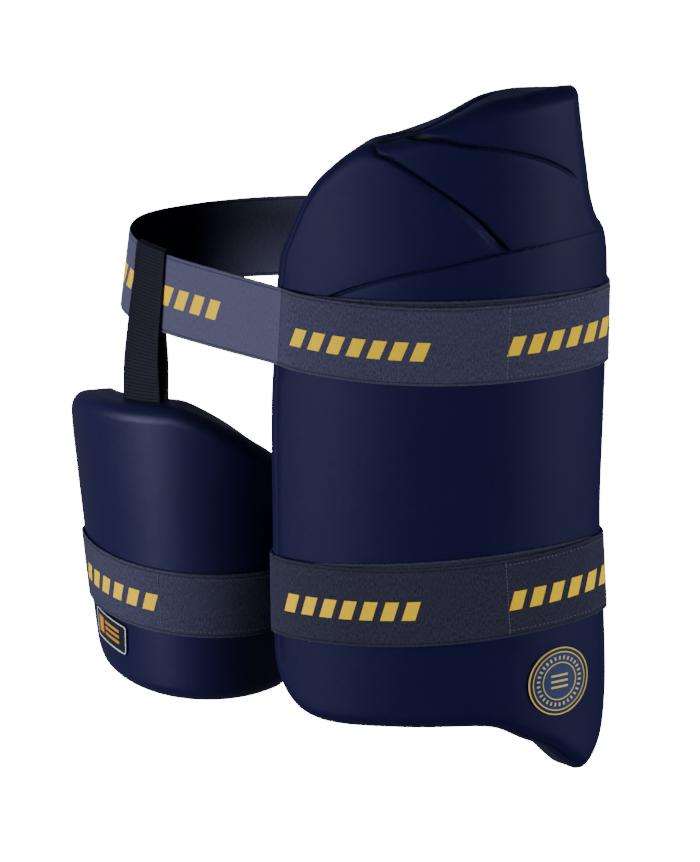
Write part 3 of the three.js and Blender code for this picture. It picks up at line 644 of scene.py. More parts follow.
lining_cloth = lining_material()
for lining_name, pad, outline, lining_node in (
        ("outer_pad_lining_cloth", outer_pad, outer_outline, "outer_pad_lining"),
        ("inner_pad_lining_cloth", inner_pad, inner_outline, "inner_pad_lining")):
    lining = lining_piece(lining_name, pad, outline, lining_node)
    lining.data.materials.append(lining_cloth)
    cut = curve_through(flat_rows(pad, outline), True)


# The elastic webbing: a woven belt and two thigh straps, each a whole loop, and under the two long ones
# a short second band that shows above them. They are woven slate navy, with marks in yellow. Painted light
# makes the belt paler on its free front and on the inside of its far part, and painted shade darkens
# each band's inner side nearly to black.
webbing_gap = 0.00035
belt = dict(width=0.050, thickness=0.0016, height=-0.0007, slope=0)
under_band = dict(thickness=0.0012, rise=0.0046, dip=0.0012, turns=(-0.66, 0.88))
outer_strap = dict(width=0.050, thickness=0.0016, height=-0.166, slope=0.085, lean=0, reach=0.120,
                   pinch=0.2)
inner_strap = dict(width=0.042, thickness=0.0016, height=-0.196, slope=-0.05, lean=0.09, reach=0.080,
                   pinch=0.1)
belt_loop = dict(centre=(0, 0), facing=22 * degrees)
belt_half_across = 0.146
belt_half_deep = 0.113
belt_leaves = -0.845 * outer_pad["half_turn"]
band_step = 0.0022
fine_step = 0.001

# Where the belt runs off the pad, as shares of the loop's half sizes, with how far its lower edge stands
# out, as a share of its width, and how far it rises above its place on the pad.
belt_route = [
    (0.98, -0.12, 0.02, 0), (0.94, 0.25, 0.03, 0), (0.79, 0.61, 0.02, 0), (0.47, 0.9, -0.03, 0.0005),
    (0.05, 1.02, -0.1, 0.0005), (-0.37, 0.99, -0.1, 0.001), (-0.72, 0.81, 0, 0.003),
    (-0.94, 0.62, 0.1, 0.003), (-0.993, 0.42, 0.12, 0.0015), (-0.937, 0.16, 0.1, 0.0003),
    (-0.81, -0.05, 0.06, 0), (-0.6, -0.315, 0.03, 0),
]


def edge_turns(pad, outline, height):
    """The turns where a pad's outline crosses a height, the leftmost and the rightmost."""
    line = curve_through(flat_rows(pad, outline), True)
    ahead = np.roll(line, -1, 0)
    across = (line[:, 1] > height) != (ahead[:, 1] > height)
    share = (height - line[across, 1]) / (ahead[across, 1] - line[across, 1])
    x = line[across, 0] + share * (ahead[across, 0] - line[across, 0])
    return x.min() / pattern_radius(pad), x.max() / pattern_radius(pad)


def band_lift(pad, band, under):
    """The lift of a band's middle over a pad, where something of that thickness lies under it."""
    return pad["thickness"] + under + webbing_gap + band["thickness"] / 2


def edge_over_pad(pad, outline, band, height, lift):
    """One edge of a band over a pad: round the left rolled edge, over the face at the height plus the
    slope times the sine of the turn, and round the right rolled edge."""
    radius = pattern_radius(pad)
    climb = band["slope"] * pad["across"][0]
    reach = pad["roll"] + webbing_gap + band["thickness"] / 2
    guesses = edge_turns(pad, outline, height)
    left = edge_turns(pad, outline, height + climb * math.sin(guesses[0]))[0] + pad["roll"] / radius
    right = edge_turns(pad, outline, height + climb * math.sin(guesses[1]))[1] - pad["roll"] / radius
    angles = np.array([45, 60, 75]) * degrees
    turns = np.linspace(left, right, 23)
    lifts = np.full(len(turns), lift)
    lifts[[0, -1]] = band_lift(pad, band, 0)
    rolled = pad["thickness"] - pad["roll"] + reach * np.sin(angles)
    turns = np.concatenate([
        left - reach * np.cos(angles) / radius, turns, right + reach * np.cos(angles[::-1]) / radius,
    ])
    lifts = np.concatenate([rolled, lifts, rolled[::-1]])
    return on_pad(pad, turns, height + climb * np.sin(turns), lifts)


def over_pad(pad, outline, band, lift):
    """Both edges of a band over a pad, top then bottom, side by side in six columns."""
    half = band["width"] / 2
    edges = [edge_over_pad(pad, outline, band, band["height"] + side, lift) for side in (half, -half)]
    return np.hstack(edges)


def plan_of(pad, points):
    """Where points lie across a pad's facing and behind its centre."""
    x, y = points[:, 0] - pad["centre"][0], points[:, 1] - pad["centre"][1]
    cos, sin = math.cos(pad["facing"]), math.sin(pad["facing"])
    return x * cos + y * sin, -x * sin + y * cos


def belt_edges():
    """The belt's whole loop: over the outer pad from where it leaves it to its far side, then free."""
    over = over_pad(outer_pad, outer_outline, belt,
                    band_lift(outer_pad, belt, under_band["thickness"] + webbing_gap))
    across, deep = plan_of(outer_pad, over)
    over = over[np.arctan2(across, -deep) > belt_leaves]
    route = np.array(belt_route)
    across, deep = route[:, 0] * belt_half_across, route[:, 1] * belt_half_deep
    flare = route[:, 2] * belt["width"] / 2 / np.hypot(across, deep)
    top, bottom = (
        in_plan(belt_loop, across * (1 - side * flare), deep * (1 - side * flare),
                belt["height"] + route[:, 3] + side * belt["width"] / 2) for side in (1, -1)
    )
    return np.vstack([over, np.hstack([top, bottom])])


def strap_edges(pad, outline, strap, under):
    """A thigh strap's loop: over its pad, then half an oval behind the thigh, which reaches back by a
    sine of the angle, draws in by pinch, and rises by lean for each part of that reach."""
    over = over_pad(pad, outline, strap, band_lift(pad, strap, under))
    angle = np.arange(20, 161, 20) * degrees
    edges = []
    for edge in (over[:, :3], over[:, 3:]):
        (to_across, from_across), (to_deep, from_deep) = plan_of(pad, edge[[0, -1]])
        share = (1 - np.cos(angle)) / 2
        bulge = strap["reach"] * np.sin(angle)
        middle = (from_across + to_across) / 2
        wide = from_across + (to_across - from_across) * share - middle
        height = edge[-1, 2] + (edge[0, 2] - edge[-1, 2]) * share + strap["lean"] * bulge
        edges.append(in_plan(pad, middle + wide * (1 - strap["pinch"] * np.sin(angle)),
                             from_deep + (to_deep - from_deep) * share + bulge, height))
    return np.vstack([over, np.hstack(edges)])


# The shallow line beside each selvedge: how far in it lies, its half width and its depth.
selvedge_in = 0.0020
selvedge_line = 0.00035
selvedge_dent = 0.0003


def band_section(width, thickness):
    """A woven band's section, once round: flat faces with a shallow line beside each selvedge, in the
    bell curve's shape, and edges that round off in a quarter circle. Columns are the place across the
    width and how far out it lies."""
    half, t = width / 2, thickness / 2
    rounding = np.array([0, 0.15, 0.45, 0.8]) * t
    beside_line = np.array([0.0016, selvedge_in, 0.0024, 0.0030])
    side = np.concatenate([half - rounding, half - beside_line])
    v = np.concatenate([side, np.linspace(half - 0.004, -half + 0.004, 9), -side[::-1]])
    from_edge = half - np.abs(v)
    out = t * np.sqrt(1 - (1 - np.clip(from_edge / t, 0, 1)) ** 2)
    out = out - selvedge_dent * np.exp(-((from_edge - selvedge_in) / selvedge_line) ** 2)
    front = np.stack([v, out], -1)
    back = np.stack([v[::-1], -out[::-1]], -1)[1:-1]
    return np.vstack([front, back])


def band_loop(edges, step, closed=True):
    """A band's middle line, its direction up across the width and its direction out, every step along a
    smooth line through its edges, with the distance run."""
    line = curve_through(edges, closed, 16)
    middle = (line[:, :3] + line[:, 3:]) / 2
    run = run_of(middle, closed)
    count = int(run[-1] / step)
    distances = np.linspace(0, run[-1], count, endpoint=not closed)
    ends = np.vstack([line, line[:1]]) if closed else line
    line = np.stack([np.interp(distances, run, column) for column in ends.T], -1)
    middle = (line[:, :3] + line[:, 3:]) / 2
    up = line[:, :3] - line[:, 3:]
    up /= np.linalg.norm(up, axis=1)[:, None]
    if closed:
        ahead = np.roll(middle, -1, 0) - np.roll(middle, 1, 0)
    else:
        ahead = np.gradient(middle, axis=0)
    out = np.cross(ahead, up)
    out /= np.linalg.norm(out, axis=1)[:, None]
    return middle, up, out, distances, run[-1]


def band_piece(name, edges, band, node, materials, closed=True):
    """A band: its section carried along its loop. The UV map holds the distance run and the place across
    the width. The side away from the body takes the first material, the other the second."""
    middle, up, out, distances, length = band_loop(edges, band_step, closed)
    section = band_section(band["width"], band["thickness"])
    points = (middle[:, None] + up[:, None] * section[None, :, :1]
              + out[:, None] * section[None, :, 1:])
    rows, columns = len(points), len(section)
    quads = ring_quads(rows + 1, columns) % (rows * columns) if closed else ring_quads(rows, columns)
    spans = len(quads) // columns
    run_on = np.append(distances, length)
    r = np.repeat(np.arange(spans), columns)
    i = np.tile(np.arange(columns), spans)
    j = (i + 1) % columns
    u = np.stack([run_on[r], run_on[r], run_on[r + 1], run_on[r + 1]], -1)
    v = np.stack([section[i, 0], section[j, 0], section[j, 0], section[i, 0]], -1)
    faces = [quads]
    patterns = np.stack([u, v], -1).reshape(-1, 2)
    if not closed:
        faces.append(np.array([np.arange(columns), rows * columns - 1 - np.arange(columns)]))
        cap = np.stack([np.zeros(columns), section[:, 0]], -1)
        patterns = np.vstack([patterns, cap, cap])
    piece = new_piece(name, points.reshape(-1, 3), faces, node, patterns)
    for material in materials:
        piece.data.materials.append(material)
    inside = (section[i, 1] + section[j, 1]) < 0
    indices = np.zeros(len(piece.data.polygons), int)
    indices[:len(inside)] = inside
    piece.data.polygons.foreach_set("material_index", indices)


# The woven marks: slanted bars, each a share of a pitch wide.
mark_pitch = 0.0133
mark_lean = 0.35
mark_share = 0.62


def between(tree, value, low, high):
    """1 where a value lies between two others."""
    return maths(tree, "MULTIPLY", maths(tree, "GREATER_THAN", value, low),
                 maths(tree, "LESS_THAN", value, high))


def bars_mask(tree, x, y, start, bars, low, high):
    """1 inside a row of slanted bars: the distance along, less a lean times the height, is cut into
    pitches from start, and the first part of each of the first few pitches is a bar."""
    along = maths(tree, "SUBTRACT", maths(tree, "SUBTRACT", x, start), maths(tree, "MULTIPLY", y, mark_lean))
    turns = maths(tree, "DIVIDE", along, mark_pitch)
    bar = maths(tree, "LESS_THAN", maths(tree, "FRACT", turns), mark_share)
    return maths(tree, "MULTIPLY", bar, between(tree, turns, 0, bars), between(tree, y, low, high))


def ramped(tree, value, start, end, kind="LINEAR"):
    """A share that rises from 0 where the value is start to 1 where it is end."""
    ramp = node_in(tree, "ShaderNodeMapRange", _0=value, _1=start, _2=end)
    ramp.interpolation_type = kind
    return ramp.outputs[0]


def elastic_material(name, half, marks=(), lit_stretches=(), depth=1.0, dark=False):
    """Woven elastic: fine warp and weft waves, heathered by noise in single threads. marks are rows of
    yellow bars woven in, and tones are stretches painted paler, as painted light. A dark line runs beside
    each edge, half the width from the middle. depth divides all of it, as painted shade when over 1 and as
    painted light when under 1, and dark makes a near-black copy for a band's inner side, as painted shade."""
    sheen, specular = (0, 0.02) if dark else (0.1, 0.08)
    material, tree, shader = new_material(name, 0.82, specular, sheen, (0.6, 0.62, 0.85))
    where, x, y = pattern_xy(tree)
    threads = node_in(tree, "ShaderNodeMapping", Vector=where, Scale=(1 / 0.0008, 1 / 0.0024, 1))
    heather = noise_at(tree, threads.outputs[0], 1, 3)
    weave = maths(tree, "MULTIPLY", wave(tree, x, 0.0011), wave(tree, y, 0.0008))
    mix = weighed(tree, (heather, 0.55), (noise_at(tree, where, 0.0007), 0.45), (weave, 0.10))
    height = weighed(tree, (weave, 0.3), (mix, 0.9))
    shade = ramped(tree, mix, 0.32, 0.70)
    # With dark, a near-black copy of the elastic for a band's inner side, as painted shade.
    low, high = ((0.0005, 0.0004, 0.005), (0.0016, 0.0014, 0.012)) if dark else (
        (0.014, 0.014, 0.034), (0.064, 0.066, 0.122))
    colour = mixed(tree, shade, [c / depth for c in low], [c / depth for c in high])
    for start, end, fade, lit_colour in lit_stretches:
        rise = ramped(tree, x, start, start + fade, "SMOOTHSTEP")
        fall = ramped(tree, x, end - fade, end, "SMOOTHSTEP")
        share = maths(tree, "MULTIPLY", rise, maths(tree, "SUBTRACT", 1, fall))
        paler = mixed(tree, shade, [0.68 * c for c in lit_colour], [1.12 * c for c in lit_colour])
        colour = mixed(tree, share, colour, paler)
    from_line = maths(tree, "SUBTRACT", maths(tree, "ABSOLUTE", y), half - selvedge_in)
    line = maths(tree, "LESS_THAN", maths(tree, "ABSOLUTE", from_line), selvedge_line)
    colour = mixed(tree, maths(tree, "MULTIPLY", line, 0.55), colour, (0.004, 0.004, 0.010))
    if marks:
        mask = maths(tree, "MAXIMUM", 0, *[bars_mask(tree, x, y, *mark) for mark in marks])
        gold = mixed(tree, shade, (0.94, 0.55, 0), (1, 0.70, 0))
        colour = mixed(tree, mask, colour, gold)
        height = weighed(tree, (height, 1), (mask, 0.4))
    feed(tree, shader.inputs["Base Color"], colour)
    bumped(tree, shader, height, 0.00022)
    return material


def run_at_turn(edges, pad, share):
    """The distance run along a band where it passes a turn of its pad, as a share of the half turn."""
    middle, _, _, distances, _ = band_loop(edges, fine_step)
    across, deep = plan_of(pad, middle)
    turn = np.arctan2(across, -deep)
    over = slice(0, int(np.argmax(turn)) + 1)
    return float(np.interp(share * pad["half_turn"], turn[over], distances[over]))


belt_line = belt_edges()
belt_length = band_loop(belt_line, fine_step)[4]
belt_far = run_at_turn(belt_line, outer_pad, 0.99)
outer_strap_line = strap_edges(outer_pad, outer_outline, outer_strap,
                               under_band["thickness"] + webbing_gap)
inner_strap_line = strap_edges(inner_pad, inner_outline, inner_strap, 0)

# Each row of bars: the distance that it starts at, how many there are, and their feet and tops across the
# width. Each stretch of painted light: where it starts and ends, how far it fades, and its colour.
belt_marks = [
    (run_at_turn(belt_line, outer_pad, -0.735), 7, -0.0090, 0.0027),
    (run_at_turn(belt_line, outer_pad, 0.36), 7, -0.0078, 0.0040),
    (belt_length - 0.152, 8, -0.0070, 0.0055),
]
# Painted light: on the belt's free front, and on the inside of its far part beyond the pad.
belt_front_painted_light = (belt_length - 0.26, belt_length + 1, 0.03, (0.085, 0.085, 0.155))
belt_inside_painted_light = (belt_far - 0.1, belt_far + 0.37, 0.08, (0.112, 0.115, 0.195))
# The belt's colour is divided by a depth under 1, as painted light.
elastic_belt = elastic_material("elastic_belt", belt["width"] / 2, belt_marks, [belt_front_painted_light], 0.85)
# The belt's inner side is a near-black copy of the elastic, as painted shade, with painted light on the
# inside of its far part.
shaded_inside_belt = elastic_material("shaded_inside_elastic_belt", belt["width"] / 2, lit_stretches=[belt_inside_painted_light],
                               dark=True)
band_piece("elastic_waist_belt", belt_line, belt, "waist_belt", [elastic_belt, shaded_inside_belt])

strap_marks = [
    (run_at_turn(outer_strap_line, outer_pad, turn), 7, -0.0080, 0.0038) for turn in (-0.78, 0.37)
]
# The outer strap's colour is divided by a depth over 1, as painted shade.
elastic_strap = elastic_material("elastic_strap", outer_strap["width"] / 2, strap_marks, depth=1.55)
# Both straps' inner sides are a near-black copy of the elastic, as painted shade.
shaded_inside_strap = elastic_material("shaded_inside_elastic_strap", outer_strap["width"] / 2, dark=True)
band_piece("elastic_outer_strap", outer_strap_line, outer_strap, "outer_thigh_strap",
           [elastic_strap, shaded_inside_strap])

inner_marks = [(run_at_turn(inner_strap_line, inner_pad, -0.78), 6, -0.0070, 0.0042)]
# The inner strap's colour is divided by a depth under 1, as painted light.
elastic_inner = elastic_material("elastic_inner_strap", inner_strap["width"] / 2, inner_marks, depth=0.9)
band_piece("elastic_inner_strap", inner_strap_line, inner_strap, "inner_thigh_strap",
           [elastic_inner, shaded_inside_strap])


def under_band_edges(band):
    """The short band under a long one: flat on the pad, and higher than it by rise times the root of a
    cosine, less dip, so that both its ends lie under the long one's edge."""
    left, right = (turn * outer_pad["half_turn"] for turn in under_band["turns"])
    turn = np.linspace(left, right, 40)
    swing = (turn - (left + right) / 2) / (right - left) * math.pi
    rise = under_band["rise"] * np.maximum(np.cos(swing), 0) ** 0.5 - under_band["dip"]
    height = band["height"] + rise + band["slope"] * outer_pad["across"][0] * np.sin(turn)
    lift = band_lift(outer_pad, under_band, 0)
    half = band["width"] / 2
    return np.hstack([on_pad(outer_pad, turn, height + side, lift) for side in (half, -half)])


# The short bands under the long ones are darkened by a depth over 1, as painted shade.
plain_elastic = elastic_material("plain_elastic", belt["width"] / 2, depth=1.1)
for band, band_name, band_node in ((belt, "elastic_under_belt", "belt_under_band"),
                                   (outer_strap, "elastic_under_strap", "strap_under_band")):
    short = dict(width=band["width"], thickness=under_band["thickness"])
    band_piece(band_name, under_band_edges(band), short, band_node, [plain_elastic, plain_elastic],
               closed=False)


# The stitching: pale thread that holds the two long bands and the inner strap to the pads, in a row along
# each edge from an upright seam to the pad's far side.
stitch_length = 0.0019
stitch_pitch = 0.0028
stitch_width = 0.00036
top_row_in = 0.0036
bottom_row_in = 0.0042
seam_pitch = stitch_pitch * 0.8


def stitches_on_band(edges, band, start, end):
    """The middles, directions and outward directions of stitches on a band: a row along it inside each
    edge from one distance to another, and one seam across it at the start."""
    middle, up, out, distances, _ = band_loop(edges, fine_step)
    half = band["width"] / 2
    at = np.arange(start, end, stitch_pitch)
    across = np.arange(0.003 - half, half - 0.002, seam_pitch)
    distance = np.concatenate([at, at, np.full(len(across), start)])
    place = np.concatenate([
        np.full(len(at), half - top_row_in), np.full(len(at), bottom_row_in - half), across,
    ])
    centre, rise, outward, along = (
        np.stack([np.interp(distance, distances, column) for column in part.T], -1)
        for part in (middle, up, out, np.cross(up, out))
    )
    in_seam = np.arange(len(distance))[:, None] >= 2 * len(at)
    spots = centre + rise * place[:, None] + outward * band["thickness"] / 2
    return spots, np.where(in_seam, rise, along), outward


def stitch_piece(name, spots, ways, outs, material):
    """Stitches as one mesh: each a bead whose height and width are a power of a half sine of the way
    along it."""
    rings, sides = 5, 6
    share = np.linspace(0.06, 0.94, rings)
    angle = np.arange(sides) * 2 * math.pi / sides
    fat = np.sin(share * math.pi) ** 0.6 * stitch_width
    along, around = np.meshgrid((share - 0.5) * stitch_length, angle, indexing="ij")
    wide = fat[:, None] * np.cos(around)
    tall = fat[:, None] * np.sin(around) * 0.8
    aside = np.cross(outs, ways)
    bead = (spots[:, None, None] + ways[:, None, None] * along[None, ..., None]
            + aside[:, None, None] * wide[None, ..., None]
            + outs[:, None, None] * tall[None, ..., None])
    count = rings * sides
    first = np.arange(len(spots))[:, None, None] * count
    quads = (ring_quads(rings, sides)[None] + first).reshape(-1, 4)
    caps = np.stack([np.arange(sides)[::-1], count - sides + np.arange(sides)])
    caps = (caps[None] + first).reshape(-1, sides)
    patterns = np.broadcast_to(np.stack([along, around * 0.001], -1)[None], (len(spots), rings, sides, 2))
    piece = new_piece(name, bead.reshape(-1, 3), [quads, caps], None, patterns.reshape(-1, 2))
    piece.data.materials.append(material)


def thread_material():
    """Polyester thread: two twisted plies as slanting waves along each stitch."""
    material, tree, shader = new_material("band_thread", 0.6, 0.3, 0.2, (0.8, 0.85, 1), 0.4)
    _, x, y = pattern_xy(tree)
    twist = wave(tree, maths(tree, "ADD", x, y), 0.0007)
    shade = maths(tree, "ADD", maths(tree, "MULTIPLY", twist, 0.5), 0.5)
    colour = mixed(tree, shade, (0.030, 0.033, 0.060), (0.105, 0.110, 0.170))
    feed(tree, shader.inputs["Base Color"], colour)
    bumped(tree, shader, shade, 0.00008)
    return material


band_thread = thread_material()
for name, edges, band, pad, turns in (
        ("elastic_belt_stitches", belt_line, belt, outer_pad, (0.346, 0.99)),
        ("elastic_strap_stitches", outer_strap_line, outer_strap, outer_pad, (0.346, 0.93)),
        ("elastic_inner_stitches", inner_strap_line, inner_strap, inner_pad, (-0.19, 0.5))):
    start, end = (run_at_turn(edges, pad, turn) for turn in turns)
    stitch_piece(name, *stitches_on_band(edges, band, start, end), band_thread)


# The hanger: a loop of navy webbing woven in ribs, passed over the belt's top edge. Both ends go down
# into the inner pad's top edge, where they are sewn in.

# Its sizes. slack is how far it stands off below the belt, bearing its place round the belt, pad_turn its
# place on the pad, splay how far the rear ply's foot lies to one side, and sunk how deep its ends go.
hanger = dict(width=0.030, thickness=0.0018, slack=0.0014, bearing=198.4 * degrees, pad_turn=-0.36,
              splay=0.0045, sunk=0.003)
rib_pitch = 0.0021
rib_height = 0.00030
steps_per_rib = 8


def webbing_over_belt(section):
    """The hanger's points, its outward directions and the distance run, for each place of its section:
    straight up outside the belt, round its top edge in a half circle and down inside it, and turned
    evenly from the belt's line to the pad's on the way down. The rear ply's foot lies to one side."""
    middle, up, out, distances, _ = band_loop(belt_line, fine_step)
    aim = np.array([math.cos(hanger["bearing"]), math.sin(hanger["bearing"])])
    plan = middle[:, :2] / np.linalg.norm(middle[:, :2], axis=1)[:, None]
    place = distances[np.argmax(plan @ aim)] + section[:, 0]
    at_belt, rise, outward = (
        np.stack([np.interp(place, distances, column) for column in part.T], -1)
        for part in (middle, up, out)
    )
    outward[:, 2] = 0
    outward /= np.linalg.norm(outward, axis=1)[:, None]

    lift = (inner_pad["thickness"] - inner_pad["roll"]) / 2
    radius = pattern_radius(inner_pad)
    aside = section[None, :, 0] + np.array([[0], [hanger["splay"]]])
    turn = hanger["pad_turn"] * inner_pad["half_turn"] + aside / (radius + lift)
    brim = curve_through(flat_rows(inner_pad, inner_outline), True)
    brim = brim[brim[:, 1] > flat_rows(inner_pad, [inner_pad["middle"]])[0, 1]]
    brim = brim[np.argsort(brim[:, 0])]
    foot_height = np.interp(turn * radius, brim[:, 0], brim[:, 1]) - hanger["sunk"]
    foot = on_pad(inner_pad, turn, foot_height, lift)
    foot_out = on_pad(inner_pad, turn, foot_height, lift + 1) - foot

    half = belt["thickness"] / 2 + webbing_gap + hanger["thickness"] / 2
    low, high = belt["height"] - belt["width"] / 2, belt["height"] + belt["width"] / 2
    lowest = foot_height.mean()
    bend = np.arange(15, 90, 15) * degrees
    up_side = [(lowest, hanger["thickness"] / 2 + webbing_gap),
               ((lowest + low) / 2, half + hanger["slack"]), (low, half + hanger["slack"] / 2),
               (belt["height"], half), (high - 0.004, half), (high, half)]
    up_side += [(high + half * math.sin(a), half * math.cos(a)) for a in bend]
    path = up_side + [(high + half, 0)] + [(z, -away) for z, away in up_side[::-1]]
    path = curve_through(path, False, 24)
    length = run_of(path, False)[-1]
    run = np.linspace(0, length, int(length / rib_pitch * steps_per_rib))
    path = points_at(path, run, False)
    z, away = path[:, :1], path[:, 1:]
    slope = np.gradient(path, axis=0)
    slope /= np.linalg.norm(slope, axis=1)[:, None]

    rear = (run > length / 2).astype(int)
    foot, foot_out, foot_height = foot[rear], foot_out[rear], foot_height[rear]
    share = np.clip((low - z) / (low - lowest), 0, 1)
    z = np.where(z < low, low - (low - foot_height) * share, z)
    belt_share = (np.maximum(z, low) - belt["height"])[..., None]
    share = share[..., None]
    line = at_belt[None] + rise[None] * belt_share
    line = line * (1 - share) + foot * share
    line[..., 2] = z
    outward = outward[None] * (1 - share) + foot_out * share
    outward /= np.linalg.norm(outward, axis=2)[..., None]
    line = line + outward * away[..., None]
    thick = outward * slope[:, :1, None]
    thick[..., 2] = -slope[:, 1:]
    return line, thick, run


def webbing_section(width, thickness):
    """A flat section with round selvedges, once round: place across and how far out."""
    half, t = width / 2, thickness / 2
    side = half - np.array([0, 0.15, 0.45, 0.9]) * t
    v = np.concatenate([side, np.linspace(half - 0.002, 0.002 - half, 11), -side[::-1]])
    out = t * np.sqrt(1 - (1 - np.clip((half - np.abs(v)) / t, 0, 1)) ** 2)
    return np.vstack([np.stack([v, out], -1), np.stack([v[::-1], -out[::-1]], -1)[1:-1]])


def hanger_piece():
    """The hanger's mesh: ribs across it, each a rounded ridge, flatter at the selvedges."""
    section = webbing_section(hanger["width"], hanger["thickness"])
    line, thick, run = webbing_over_belt(section)
    ridge = np.abs(np.cos(run * math.pi / rib_pitch)) ** 0.8 - 0.5
    inside = np.clip((hanger["width"] / 2 - np.abs(section[:, 0])) / 0.0015, 0, 1) ** 0.5
    relief = rib_height * ridge[:, None] * (inside * np.sign(section[:, 1]))[None]
    points = line + thick * (section[None, :, 1] + relief)[..., None]
    rows, columns = points.shape[:2]
    caps = np.array([np.arange(columns)[::-1], (rows - 1) * columns + np.arange(columns)])
    patterns = np.stack(np.broadcast_arrays(run[:, None], section[None, :, 0]), -1).reshape(-1, 2)
    faces = [ring_quads(rows, columns), caps]
    return new_piece("webbing_hanger", points.reshape(-1, 3), faces, "hanger_loop", patterns)


def webbing_material():
    """Polypropylene webbing: painted light on the tops of the ribs and painted shade in the valleys between
    them, with fine slanting threads.
    """
    material, tree, shader = new_material("ribbed_webbing", 0.6, 0.09)
    where, x, y = pattern_xy(tree)
    # Painted light and shade: the tops of the ribs are paler and their valleys nearly black.
    rib_light_and_shade = maths(tree, "ABSOLUTE", maths(tree, "COSINE", maths(tree, "MULTIPLY", x, math.pi / rib_pitch)))
    thread = wave(tree, maths(tree, "SUBTRACT", y, maths(tree, "MULTIPLY", x, 0.6)), 0.0011)
    grain = noise_at(tree, where, 0.0007)
    shade = weighed(tree, (rib_light_and_shade, 0.55), (grain, 0.35), (thread, 0.10))
    colour = mixed(tree, shade, (0.0003, 0.0004, 0.0015), (0.0125, 0.0150, 0.031))
    feed(tree, shader.inputs["Base Color"], colour)
    bumped(tree, shader, weighed(tree, (thread, 0.4), (grain, 0.6)), 0.00015)
    return material


hanger_piece().data.materials.append(webbing_material())


# The badge: a round of soft moulded rubber, pressed on low at the outer pad's far side, with raised gold
# rings, a ring of gold ticks and three plain bars.
badge = dict(radius=0.0216, thickness=0.0012, turn=0.636, height=-0.2219)


def on_cover(pad, place, local, rise):
    """A point of a plate laid on a pad: its own x and y in metres, spread so that they keep their size on
    the curved cover, and how far it rises from the cover."""
    turn = place["turn"] * pad["half_turn"]
    across, deep = half_sizes(pad, place["height"], pad["thickness"])
    spread = pattern_radius(pad) / math.hypot(across * math.cos(turn), deep * math.sin(turn))
    x = turn * pattern_radius(pad) + local[:, 0] * spread
    return on_pad(pad, x / pattern_radius(pad), place["height"] + local[:, 1],
                  pad["thickness"] + webbing_gap + rise)


def plate_piece(name, pad, place, edge, profile, node):
    """A plate: rings drawn in from its edge by the profile's shares, at the profile's heights."""
    rings, count = len(profile), len(edge)
    local = np.vstack([(profile[:, None, :1] * edge[None]).reshape(-1, 2), np.zeros((2, 2))])
    rise = np.concatenate([np.repeat(profile[:, 1], count), profile[[0, -1], 1]])
    first = np.arange(count)
    faces = [ring_quads(rings, count), fan(first[::-1], rings * count),
             fan(first + (rings - 1) * count, rings * count + 1)]
    return new_piece(name, on_cover(pad, place, local, rise), faces, node, local)


badge_angle = np.arange(144) * 2 * math.pi / 144
badge_edge = badge["radius"] * np.stack([np.cos(badge_angle), np.sin(badge_angle)], -1)

# Its marks, in shares of its radius: each gold ring's edges, how many ticks there are, their ends and half
# their width as a share of their pitch, and the bars' feet, height and half length. The rings' relief is in
# metres.
badge_rings = [(0.962, 1), (0.842, 0.875), (0.53, 0.562)]
badge_ticks = 30
tick_band = (0.64, 0.745)
tick_half = 0.17
bar_feet = (-0.20, -0.03, 0.14)
bar_height = 0.06
bar_half = 0.28
ring_relief = 0.00035


def badge_profile():
    """The badge's section from its underside out round its edge and in to its middle: a plain disc with
    a rounded ridge at each gold ring."""
    top = badge["thickness"] - ring_relief
    share = np.linspace(0.985, 0.03, 110)
    height = np.full(len(share), top)
    for low, high in badge_rings:
        inside = np.clip(1 - np.abs((share - (low + high) / 2) / ((high - low) / 2)), 0, 1)
        height += ring_relief * np.sqrt(np.minimum(1, inside * 2.5))
    under = [(0.1, 0), (0.5, 0), (0.97, 0), (0.995, 0.0002), (1, 0.0004), (1, 0.0009), (0.995, 0.0011)]
    return np.vstack([under, np.stack([share, height], -1)])


def box_mask(tree, x, y, left, right, low, high):
    """1 inside an upright rectangle."""
    return maths(tree, "MULTIPLY", between(tree, x, left, right), between(tree, y, low, high))


def radius_of(tree, x, y):
    """The distance from the middle, the root of the sum of the squares."""
    return maths(tree, "SQRT", maths(tree, "ADD", *[maths(tree, "MULTIPLY", v, v) for v in (x, y)]))


